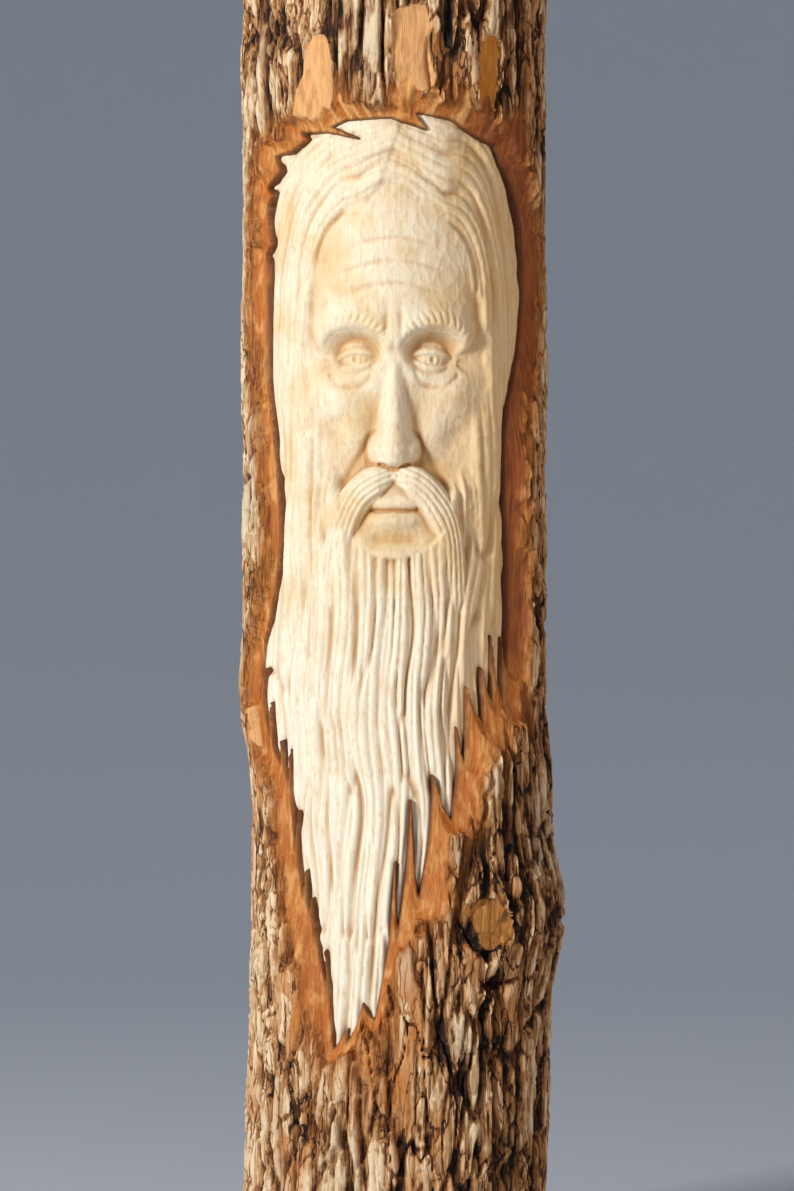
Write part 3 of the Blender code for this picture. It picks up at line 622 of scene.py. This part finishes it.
def sliced(u, v):
    """Above 0 inside the places where a knife took the bark's back off."""
    inside = np.full(u.shape, -1.0)
    for x, middle, half_width, half_height, lean, widening in SLICES:
        up = (v - middle) / half_height
        across = u - round_the_wood(x, WOOD_RADIUS + INNER_BARK) - lean * (v - middle)
        reach = half_width * np.clip(1 + widening * up, 0.3, 2)
        inside = np.maximum(inside, 1 - np.abs(across / reach) ** 3 - np.abs(up) ** 5)
    return inside


def band_width(u, v):
    """Width of the band round the carving that is pared to the inner bark, in head units."""
    left, right = [np.interp(v, *np.transpose(side)) for side in (LEFT_BAND, RIGHT_BAND)]
    width = left + (right - left) * smooth(-12, 12, u + 28 * smooth(-150, -330, v))
    ragged = 1 + 0.30 * noise(u / 9, v / 17, 71) + 0.22 * noise(u / 4, v / 30, 75)
    tongues = 10 * smooth(98, 106, v) * smooth(0.1, 0.8, noise(u / 6.5, v / 40, 79))
    return BAND_WIDTH / UNIT * width * ragged + tongues


PLATE_WIDTH = 0.013
PLATE_LENGTH = 0.055
PLATE_GAP = 0.0026
PLATE_CUT = 0.0031


def plate_gaps(u, v):
    """From 0 to 1 in the gaps between the coarse plates, low on the trunk and on its left flank."""
    columns = even(2 * math.pi * (WOOD_RADIUS + INNER_BARK) / PLATE_WIDTH)
    across = around_the_log(u, v) * columns
    along = v * UNIT / PLATE_LENGTH
    bend = 0.4 * noise(2 * across, 1.5 * along, 85, 2 * columns)
    edge, _ = plates(across + bend, along + 0.7 * bend, 86, columns)
    gap = PLATE_GAP / PLATE_WIDTH * (1 + 0.9 * noise(u / 14, v / 22, 87))
    return smooth(gap, 0, edge) * np.maximum(smooth(-150, -230, v), smooth(-50, -68, u))


BARK_STEP = 0.8
BACK_STEP = 1.25
FRONT_REACH = 121
FRONT_TRIANGLES = 199000
BACK_TRIANGLES = 150000

# The end faces are rings of points drawn in from the bark, at these shares of the way out.
CAP_SHARES = [0.97, 0.9, 0.75, 0.5, 0.25]


def old_branch(u, v):
    """The bark's swelling round the small knot under the branch scar, and the fold below it."""
    across = u - round_the_wood(KNOT[0], WOOD_RADIUS + INNER_BARK)
    off_knot = np.hypot(across, v - KNOT_EYE)
    fold = v - KNOT_FOLD - 3 * noise(across / 9, 0 * v, 77)
    in_fold = smooth(-5, -1, across) * smooth(20, 12, across)
    rise = 1.6 * groove(off_knot - 5, 2.2) - 3.4 * smooth(3.6, 1.6, off_knot)
    return rise + in_fold * (1.8 * groove(fold + 4, 4.5) - 4.5 * groove(fold, 1.3))


def on_front(u):
    """1 round the front, and 0 on the plainer back."""
    return smooth(118, 92, np.abs(u))


def splinters(u, v):
    """Fibres of the inner bark torn up above the head, fanned outward, from 0 to 1."""
    fanned = u * (1 - 0.006 * (v - 100)) + 3 * noise(u / 20, v / 14, 89)
    above = smooth(86, 100, v) * smooth(60, 45, np.abs(u))
    return smooth(0.05, 0.6, noise(fanned / 2.1, v / 17, 88)) * above


def colour_areas(u, v):
    """Where the colours turn: golden flats on the right, and a russet band there that is partly
    painted shade, rust and pale bark low on the left, painted shade on the right flank and lower
    right, and the old branch scar's height."""
    # Painted shade on the right flank and lower right.
    right = np.maximum(0.4 * smooth(-8, 35, u) * smooth(-212, -250, v), smooth(35, 80, u))
    pale = 1.3 * smooth(25, -10, u) * smooth(-150, -250, v)
    rusty = groove(u + 34, 18) * groove(v + 292, 45) + groove(u + 12, 13) * groove(v + 345, 30)
    return {"ochre": smooth(26, 32, u), "rusty": rusty, "right_shade_and_low_left_pale": on_front(u) * (right - pale),
            "russet_and_shade": smooth(18, 55, u) * smooth(-165, -135, v), "scarred": smooth(-200, -230, v)}


def bark_surface(angle, v):
    """Places of the bark's surface, and what its finish needs to know at each."""
    u = angle * WOOD_RADIUS / UNIT
    areas = colour_areas(u, v)
    scar = areas["scarred"]
    off_hair = outline_distance(u, v, hair_outline())
    form, flake, strip, fibre = bark_form(u, v)
    torn = 1.5 * fibre + 1.4 * noise(u / 2.4, v / 13, 72)
    off_band = off_hair - band_width(u, v) + torn
    bent_u = u + 4 * scar * noise(u / 10, v / 10, 78)
    bent_v = v + 4 * scar * noise(u / 10, v / 10, 83)
    taken = sliced(bent_u, bent_v) + 0.14 * fibre + 0.16 * noise(u / 3, v / 5, 76)
    form = form + old_branch(u, v) * UNIT / FURROW_DEPTH
    form = form - PLATE_CUT / FURROW_DEPTH * on_front(u) * plate_gaps(u, v) * smooth(0, -0.4, taken)
    rough = INNER_BARK + OUTER_BARK + FURROW_DEPTH * (form - 1)
    uneven = (0.15 + 0.5 * scar) * UNIT * noise(u / 6, v / 12, 73)
    slice_top = INNER_BARK + 0.25 * OUTER_BARK + uneven + 0.0008 * scar * groove(taken, 0.5)
    rough = np.where(taken > 0, np.minimum(rough, slice_top), rough) / UNIT
    pared = (-BAND_LIP + (INNER_BARK + BAND_LIP) * smooth(0, 12, off_hair)) / UNIT
    splinter = splinters(u, v)
    knife = 0.5 * noise(u / 4.5, v / 14, 74) + 1.1 * splinter
    knife = knife * smooth(0, 3, off_hair) + 0.08 * fibre
    relief = pared + knife + (rough - pared - knife) * smooth(0, 2.2, off_band)
    relief = np.where(off_hair < 0, 5 * off_hair - BAND_LIP / UNIT, relief)
    relief = np.maximum(relief, -20)
    painted = {"ridge": np.clip(form, 0, 1.4), "flake": flake, "strip": strip, "off_band": off_band,
               "off_hair": off_hair, "taken": taken, "splinter": splinter, **areas}
    return on_the_log(angle, v, relief), painted


def log_sector(name, angles, triangles):
    """One sector of the log as a solid: bark outside, two sawn ends, and two faces to the pith."""
    unstretched = CHIN + (FOOT - CHIN) / BEARD_STRETCH
    levels = np.linspace(unstretched, (LOG_LENGTH - EYE_LINE) / UNIT, round(LOG_LENGTH / UNIT / BARK_STEP))
    angle, v = np.meshgrid(angles, levels)
    body, painted = bark_surface(angle, v)
    count, across = v.shape
    index = np.arange(count * across).reshape(count, across)
    quads = np.stack([index[:-1, :-1], index[:-1, 1:], index[1:, 1:], index[1:, :-1]], axis=-1)
    faces = quads.reshape(-1, 4).tolist()
    bark_faces = len(faces)
    places = [body.reshape(-1, 3)]
    pith_at, left_edge, right_edge = [], [], []
    for rim, inward in ((index[0], 1), (index[-1], -1)):
        rim_places = body.reshape(-1, 3)[rim]
        pith = np.array([0.0, 0.0, rim_places[0, 2]])
        rings = np.array([pith + (rim_places - pith) * share for share in CAP_SHARES])
        first = sum(len(p) for p in places)
        loops = [rim] + [first + k * across + np.arange(across) for k in range(len(rings))]
        pith_at.append(first + len(rings) * across)
        for outer, inner in zip(loops, loops[1:]):
            strip = np.stack([outer[1:], outer[:-1], inner[:-1], inner[1:]], axis=-1)
            faces += (strip if inward > 0 else strip[:, ::-1]).tolist()
        last = loops[-1]
        fan = np.stack([last[1:], last[:-1], np.full(across - 1, pith_at[-1])], axis=-1)
        faces += (fan if inward > 0 else fan[:, ::-1]).tolist()
        left_edge.append([int(loop[0]) for loop in loops[1:]])
        right_edge.append([int(loop[-1]) for loop in loops[1:]])
        places += [rings.reshape(-1, 3), pith[None]]
    end_faces = len(faces) - bark_faces
    low, high = pith_at
    faces.append(index[:, 0].tolist()[::-1] + left_edge[0] + [low, high] + left_edge[1][::-1])
    faces.append(index[:, -1].tolist() + right_edge[1] + [high, low] + right_edge[0][::-1])
    places = np.concatenate(places)
    spare = len(places) - v.size
    painted = {label: np.concatenate([values.ravel(), np.zeros(spare)]) for label, values in painted.items()}
    finishes = np.repeat([0, 1, 0], [bark_faces, end_faces, 2])
    made = solid(name, places, faces, painted, triangles, finishes)
    lowest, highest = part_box("carved_log")
    for point in made.data.vertices:
        for axis in range(3):
            point.co[axis] = min(max(point.co[axis], lowest[axis]), highest[axis])
    made.data.set_sharp_from_angle(angle=math.radians(75))
    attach(made, "root")
    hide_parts("carved_log")
    return made


half_girth = math.pi * WOOD_RADIUS / UNIT
front_angles = np.linspace(-FRONT_REACH, FRONT_REACH, round(2 * FRONT_REACH / BARK_STEP))
back_angles = np.linspace(FRONT_REACH, 2 * half_girth - FRONT_REACH,
                          round(2 * (half_girth - FRONT_REACH) / BACK_STEP))
bark_pieces = [
    log_sector("bark_and_log_front", front_angles * UNIT / WOOD_RADIUS, FRONT_TRIANGLES),
    log_sector("bark_and_log_back", back_angles * UNIT / WOOD_RADIUS, BACK_TRIANGLES)]

# Thick furrowed bark over a living orange layer. The strips weather to silvery tan on their
# backs, show brown to rust layers at their broken edges, and crack finely in places, the fine
# cracks drawn as dark lines of painted shade. They go nearly black in the furrows, darker bark
# there with painted shade added, and painted shade darkens the right flank. Where the knife
# passed, the inner bark is bright orange, streaked along the trunk, and on the right it turns a
# deep russet, partly its own colour and partly painted shade.
bark = bpy.data.materials.new("furrowed_bark_and_pared_inner_bark")
bark.use_nodes = True
tree = bark.node_tree
shader = tree.nodes["Principled BSDF"]
FIBRE = 0.0014
FIBRE_RUN = 0.022
MOTTLE = 0.0038
STAIN = 0.032
WANDER = 0.045
SWAY = 0.010
CRACK_SPACING = 0.0065
CRACK_RUN = 0.036
FRAY = 0.0048

place = add(tree, "TexCoord", output="Object")
drift = add(tree, "TexNoise", {"Vector": place, "Scale": 1 / WANDER, "Detail": 1.0}, "Color")
centred = add(tree, "VectorMath", {0: drift, 1: (0.5, 0.5, 0.5)}, operation="SUBTRACT")
swung = add(tree, "VectorMath", {0: centred, 1: (SWAY, SWAY, 0), 2: place}, operation="MULTIPLY_ADD")
along_trunk = add(tree, "Mapping", {"Vector": swung, "Scale": (1, 1, FIBRE / FIBRE_RUN)})
fibres = add(tree, "TexNoise", {"Vector": along_trunk, "Scale": 1 / FIBRE, "Detail": 6.0, "Roughness": 0.68})
stretched = add(tree, "Mapping", {"Vector": swung, "Scale": (1, 1, 0.35)})
mottle = add(tree, "TexNoise", {"Vector": stretched, "Scale": 1 / MOTTLE, "Detail": 3.0})
stain = add(tree, "TexNoise", {"Vector": stretched, "Scale": 1 / STAIN, "Detail": 2.0})
jitter = add(tree, "TexNoise", {"Vector": stretched, "Scale": 1 / MOTTLE, "Detail": 2.0}, "Color")
jitter = add(tree, "VectorMath", {0: jitter, 1: (0.5, 0.5, 0.5)}, operation="SUBTRACT")
frayed = add(tree, "VectorMath", {0: jitter, 1: (FRAY, FRAY, FRAY), 2: swung},
             operation="MULTIPLY_ADD")
cells = add(tree, "Mapping", {"Vector": frayed, "Scale": (1, 1, CRACK_SPACING / CRACK_RUN)})
to_crack = add(tree, "TexVoronoi", {"Vector": cells, "Scale": 1 / CRACK_SPACING}, "Distance",
               feature="DISTANCE_TO_EDGE")
ridge, flake, strip, off_band, off_hair, taken, ochre, rusty, right_shade_and_low_left_pale, russet_and_shade, scarred, splinter = [
    add(tree, "Attribute", output="Fac", attribute_name=label)
    for label in ("ridge", "flake", "strip", "off_band", "off_hair", "taken", "ochre", "rusty",
                  "right_shade_and_low_left_pale", "russet_and_shade", "scarred", "splinter")]

# How light the bark is at each place, from 0 in a furrow to 1 on a crest: its weathering, with
# painted shade in the furrows, the fine cracks and the right flank, and paler low on the left.
uneven = add(tree, "MapRange", {0: fibres, 1: 0.32, 2: 0.68, 3: -0.27, 4: 0.27})
tone = add(tree, "Math", {0: ridge, 1: 0.62, 2: uneven}, operation="MULTIPLY_ADD")
tone = add(tree, "Math", {0: flake, 1: 0.20, 2: tone}, operation="MULTIPLY_ADD")
tone = add(tree, "Math", {0: strip, 1: 0.12, 2: tone}, operation="MULTIPLY_ADD")
blotch = add(tree, "MapRange", {0: mottle, 1: 0.35, 2: 0.65, 3: -0.03, 4: 0.18})
tone = add(tree, "Math", {0: tone, 1: blotch}, operation="ADD")
# Painted shade darkens the right flank and lower right; the same mark makes the bark paler low on the left.
tone = add(tree, "Math", {0: right_shade_and_low_left_pale, 1: -0.12, 2: tone}, operation="MULTIPLY_ADD")
# Painted shade: fine cracks, only a bump in the surface, drawn as dark lines where the stain opens them.
crack = add(tree, "MapRange", {0: to_crack, 1: 0.01, 2: 0.055, 3: 0.42, 4: 0.0})
open_here = add(tree, "MapRange", {0: stain, 1: 0.42, 2: 0.52})
crack = add(tree, "Math", {0: crack, 1: open_here}, operation="MULTIPLY")
tone = add(tree, "Math", {0: tone, 1: crack}, operation="SUBTRACT")
weathered_and_shaded_bark = add(tree, "ValToRGB", {"Fac": tone})
ramp = weathered_and_shaded_bark.node.color_ramp
for k, (at, code) in enumerate([(0.08, "#120A06"), (0.25, "#3B2212"), (0.40, "#774B2B"), (0.55, "#A47342"),
                                (0.72, "#C69C6D"), (0.92, "#F2DBB8")]):
    stop = ramp.elements[k] if k < 2 else ramp.elements.new(1.0)
    stop.position = at
    stop.color = linear(code)
stained = add(tree, "MapRange", {0: stain, 1: 0.48, 2: 0.66, 3: 0.0, 4: 0.8})
layered = add(tree, "MapRange", {0: flake, 1: 0.35, 2: 0.65})
rust = add(tree, "Math", {0: stained, 1: layered}, operation="MULTIPLY")
rust = add(tree, "Math", {0: rusty, 1: 0.85, 2: rust}, operation="MULTIPLY_ADD", use_clamp=True)
pale = add(tree, "MapRange", {0: tone, 1: 0.2, 2: 0.8})
rust_colour = add(tree, "Mix", {0: pale, 6: "#4A220E", 7: "#C5803F"}, 2, data_type="RGBA")
outer = add(tree, "Mix", {0: rust, 6: weathered_and_shaded_bark, 7: rust_colour}, 2, data_type="RGBA")
clean = add(tree, "MapRange", {0: stain, 1: 0.46, 2: 0.34, 3: 0.0, 4: 0.6})
crest = add(tree, "MapRange", {0: tone, 1: 0.4, 2: 0.75})
silver = add(tree, "Math", {0: clean, 1: crest}, operation="MULTIPLY")
outer = add(tree, "Mix", {0: silver, 6: outer, 7: "#CFC0A4"}, 2, data_type="RGBA")

# The pared band: orange, with pale torn fibres, most of them above the head, a dark line of
# painted shadow and knife burnish where it meets the wood, and orange that runs out into the
# furrows of the bark beside it.
streaky = add(tree, "MapRange", {0: fibres, 1: 0.36, 2: 0.66})
orange = add(tree, "Mix", {0: streaky, 6: "#A85612", 7: "#DE9644"}, 2, data_type="RGBA")
warm = add(tree, "MapRange", {0: stain, 1: 0.42, 2: 0.62, 3: 0.0, 4: 0.6})
inner = add(tree, "Mix", {0: warm, 6: orange, 7: "#AE5A14"}, 2, data_type="RGBA")
golden = add(tree, "MapRange", {0: mottle, 1: 0.50, 2: 0.68, 3: 0.0, 4: 0.65})
golden = add(tree, "Math", {0: splinter, 1: 0.85, 2: golden}, operation="MULTIPLY_ADD", use_clamp=True)
inner = add(tree, "Mix", {0: golden, 6: inner, 7: "#E8B06A"}, 2, data_type="RGBA")
deeper = add(tree, "Mix", {0: streaky, 6: "#6E2F0B", 7: "#A9581D"}, 2, data_type="RGBA")
# Painted shade, with a redder colour: the band deepens to russet on the right.
turned = add(tree, "MapRange", {0: russet_and_shade, 1: 0.0, 2: 1.0, 3: 0.0, 4: 0.85})
inner = add(tree, "Mix", {0: turned, 6: inner, 7: deeper}, 2, data_type="RGBA")
# Painted shadow and burnish: a dark line along the stop cut where the band meets the wood.
stop_cut_shadow_and_burnish = add(tree, "MapRange", {0: off_hair, 1: -0.6, 2: 1.1, 3: 0.88, 4: 0.0})
inner = add(tree, "Mix", {0: stop_cut_shadow_and_burnish, 6: inner, 7: "#46200A"}, 2, data_type="RGBA")
fresh = add(tree, "Mix", {0: streaky, 6: "#7A3A12", 7: "#CB8640"}, 2, data_type="RGBA")
beside = add(tree, "MapRange", {0: off_band, 1: 1.2, 2: 5.0, 3: 0.85, 4: 0.0})
near = add(tree, "Mix", {0: beside, 6: outer, 7: fresh}, 2, data_type="RGBA")
within = add(tree, "MapRange", {0: off_band, 1: 4.0, 2: 15.0, 3: 0.75, 4: 0.0})
furrow = add(tree, "MapRange", {0: ridge, 1: 0.40, 2: 0.75, 3: 1.0, 4: 0.0})
within = add(tree, "Math", {0: within, 1: furrow}, operation="MULTIPLY")
near = add(tree, "Mix", {0: within, 6: near, 7: fresh}, 2, data_type="RGBA")

# Flat knife slices through the outer bark: tan on the left, golden brown on the right, and an
# old mottled tan with a dark rim on the branch scar.
tan = add(tree, "Mix", {0: streaky, 6: "#DE9F64", 7: "#EDBB83"}, 2, data_type="RGBA")
gold = add(tree, "Mix", {0: streaky, 6: "#C97B20", 7: "#E39F44"}, 2, data_type="RGBA")
slice_colour = add(tree, "Mix", {0: ochre, 6: tan, 7: gold}, 2, data_type="RGBA")
soiled = add(tree, "MapRange", {0: mottle, 1: 0.50, 2: 0.38, 3: 0.0, 4: 0.3})
slice_colour = add(tree, "Mix", {0: soiled, 6: slice_colour, 7: "#A06A3A"}, 2, data_type="RGBA")
old_tan = add(tree, "Mix", {0: streaky, 6: "#9A5F28", 7: "#D79A52"}, 2, data_type="RGBA")
slice_colour = add(tree, "Mix", {0: scarred, 6: slice_colour, 7: old_tan}, 2, data_type="RGBA")
inside_rim = add(tree, "MapRange", {0: mottle, 1: 0.4, 2: 0.6, 3: -0.5, 4: 0.5})
inside_rim = add(tree, "Math", {0: inside_rim, 1: taken}, operation="ADD")
grimy = add(tree, "MapRange", {0: inside_rim, 1: 0.65, 2: 0.15, 3: 0.0, 4: 0.85})
grimy = add(tree, "Math", {0: grimy, 1: scarred}, operation="MULTIPLY")
slice_colour = add(tree, "Mix", {0: grimy, 6: slice_colour, 7: "#5E3416"}, 2, data_type="RGBA")
is_slice = add(tree, "MapRange", {0: taken, 1: -0.02, 2: 0.06})
with_slices = add(tree, "Mix", {0: is_slice, 6: near, 7: slice_colour}, 2, data_type="RGBA")
is_bark = add(tree, "MapRange", {0: off_band, 1: 0.1, 2: 1.1})
colour = add(tree, "Mix", {0: is_bark, 6: inner, 7: with_slices}, 2, data_type="RGBA")
tree.links.new(colour, shader.inputs["Base Color"])
dry = add(tree, "MapRange", {0: is_bark, 1: 0.0, 2: 1.0, 3: 0.55, 4: 0.88})
tree.links.new(dry, shader.inputs["Roughness"])
shader.inputs["IOR"].default_value = 1.45
coarse = add(tree, "Bump", {"Height": fibres, "Strength": 0.9, "Distance": 0.0010})
fine = add(tree, "Bump", {"Height": mottle, "Strength": 0.5, "Distance": 0.0010, "Normal": coarse})
uncut = add(tree, "Math", {0: is_bark, 1: is_slice}, operation="SUBTRACT", use_clamp=True)
is_cracked = add(tree, "Math", {0: crack, 1: uncut}, operation="MULTIPLY")
split = add(tree, "Bump", {"Height": is_cracked, "Strength": 0.8, "Distance": 0.0012, "Normal": fine},
            invert=True)
tree.links.new(split, shader.inputs["Normal"])


# End grain straight from the saw: rings round the pith, a greyer heart, and a dark rim of bark.
end_grain = bpy.data.materials.new("sawn_end_grain")
end_grain.use_nodes = True
tree = end_grain.node_tree
shader = tree.nodes["Principled BSDF"]
SAW_MARK = 0.0011
HEART_RADIUS = 0.024
place = add(tree, "TexCoord", output="Object")
flat = add(tree, "VectorMath", {0: place, 1: (1, 1, 0)}, operation="MULTIPLY")
from_pith = add(tree, "VectorMath", {0: flat}, "Value", operation="LENGTH")
patchy = add(tree, "TexNoise", {"Vector": flat, "Scale": 1 / STAIN, "Detail": 2.0})
uneven = add(tree, "Math", {0: patchy, 1: 3 * RING, 2: from_pith}, operation="MULTIPLY_ADD")
turn = add(tree, "Math", {0: uneven, 1: 2 * math.pi / RING}, operation="MULTIPLY")
year = add(tree, "Math", {0: turn}, operation="SINE")
ring = add(tree, "MapRange", {0: year, 1: 0.2, 2: 1.0, 3: 0.0, 4: 0.6})
outside_heart = add(tree, "MapRange", {0: uneven, 1: HEART_RADIUS - 0.006, 2: HEART_RADIUS + 0.006})
ground = add(tree, "Mix", {0: outside_heart, 6: "#B98F5F", 7: "#DDBF8C"}, 2, data_type="RGBA")
ringed = add(tree, "Mix", {0: ring, 6: ground, 7: "#A87C49"}, 2, data_type="RGBA")
is_rim = add(tree, "MapRange", {0: from_pith, 1: WOOD_RADIUS - 0.0005, 2: WOOD_RADIUS + 0.0005})
outside = WOOD_RADIUS + INNER_BARK
to_bark = add(tree, "MapRange", {0: from_pith, 1: outside - 0.4 * INNER_BARK, 2: outside})
bark_ring = add(tree, "Mix", {0: to_bark, 6: "#9C5526", 7: "#4A2E1C"}, 2, data_type="RGBA")
colour = add(tree, "Mix", {0: is_rim, 6: ringed, 7: bark_ring}, 2, data_type="RGBA")
tree.links.new(colour, shader.inputs["Base Color"])
shader.inputs["Roughness"].default_value = 0.8
saw_marks = add(tree, "TexNoise", {"Vector": place, "Scale": 1 / SAW_MARK, "Detail": 2.0})
sawn = add(tree, "Bump", {"Height": saw_marks, "Strength": 0.4, "Distance": 0.0004})
tree.links.new(sawn, shader.inputs["Normal"])
for piece in bark_pieces:
    for finish in (bark, end_grain):
        piece.data.materials.append(finish)


# The setting is a plain pale studio: one floor that curves up into a wall all round, a large
# soft light from the front left, a weak one from the right, and even light from above.

FLOOR_RADIUS = 1.6
COVE_RADIUS = 4.0
WALL_TOP = 7.0
profile = [(0.001, 0.0), (FLOOR_RADIUS, 0.0)]
for step in range(1, 17):
    bend = step / 16 * math.pi / 2
    profile.append((FLOOR_RADIUS + COVE_RADIUS * math.sin(bend), COVE_RADIUS * (1 - math.cos(bend))))
profile.append((FLOOR_RADIUS + COVE_RADIUS, WALL_TOP))
cove_mesh = bpy.data.meshes.new("studio_floor")
cove_mesh.from_pydata([(x, 0, z) for x, z in profile], [(k, k + 1) for k in range(len(profile) - 1)], [])
cove = bpy.data.objects.new("studio_floor", cove_mesh)
bpy.context.scene.collection.objects.link(cove)
turned = cove.modifiers.new("turned", "SCREW")
turned.steps = turned.render_steps = 96
turned.use_merge_vertices = True
turned.merge_threshold = 0.0001
turned.use_smooth_shade = True
paper = bpy.data.materials.new("studio_paper")
paper.use_nodes = True
paper.node_tree.nodes["Principled BSDF"].inputs["Base Color"].default_value = linear("#CBD4E1")
paper.node_tree.nodes["Principled BSDF"].inputs["Roughness"].default_value = 0.95
cove_mesh.materials.append(paper)

AIM = Vector((0, 0, 0.36))
for name, place, size, power, tint in (
        ("key_light", (-1.55, -1.57, 1.0), 0.55, 49, "#FFFAF2"),
        ("fill_light", (1.9, -1.3, 0.4), 1.0, 13, "#FFD8AC"),
        ("back_light", (0.6, 2.2, 1.6), 1.2, 1.5, "#FFFFFF")):
    lamp = bpy.data.objects.new(name, bpy.data.lights.new(name, "AREA"))
    lamp.data.size = size
    lamp.data.energy = power
    lamp.data.color = linear(tint)[:3]
    lamp.location = place
    lamp.rotation_euler = (AIM - lamp.location).to_track_quat("-Z", "Y").to_euler()
    bpy.context.scene.collection.objects.link(lamp)

world = bpy.data.worlds.new("studio_air")
world.use_nodes = True
world.node_tree.nodes["Background"].inputs["Color"].default_value = linear("#F6F4F2")
world.node_tree.nodes["Background"].inputs["Strength"].default_value = 0.33
bpy.context.scene.world = world
bpy.context.scene.view_settings.view_transform = "Standard"


# The camera looks level at the log from far off. The photo is 794 by 1191 pixels, half a
# millimetre to a pixel at the log's middle, which stands 3 pixels left of the photo's middle.
PHOTO_HEIGHT = 1191
PIXEL = 0.0005
CAMERA_DISTANCE = 2.2
CAMERA_HEIGHT = 0.34
LOG_OFF_CENTRE = 3 * PIXEL
camera = bpy.data.objects.new("camera", bpy.data.cameras.new("camera"))
camera.data.sensor_width = 36
camera.data.lens = camera.data.sensor_width * CAMERA_DISTANCE / (PHOTO_HEIGHT * PIXEL)
camera.location = (LOG_OFF_CENTRE, -CAMERA_DISTANCE, CAMERA_HEIGHT)
camera.rotation_euler = (math.radians(90), 0, 0)
bpy.context.scene.collection.objects.link(camera)
bpy.context.scene.camera = camera
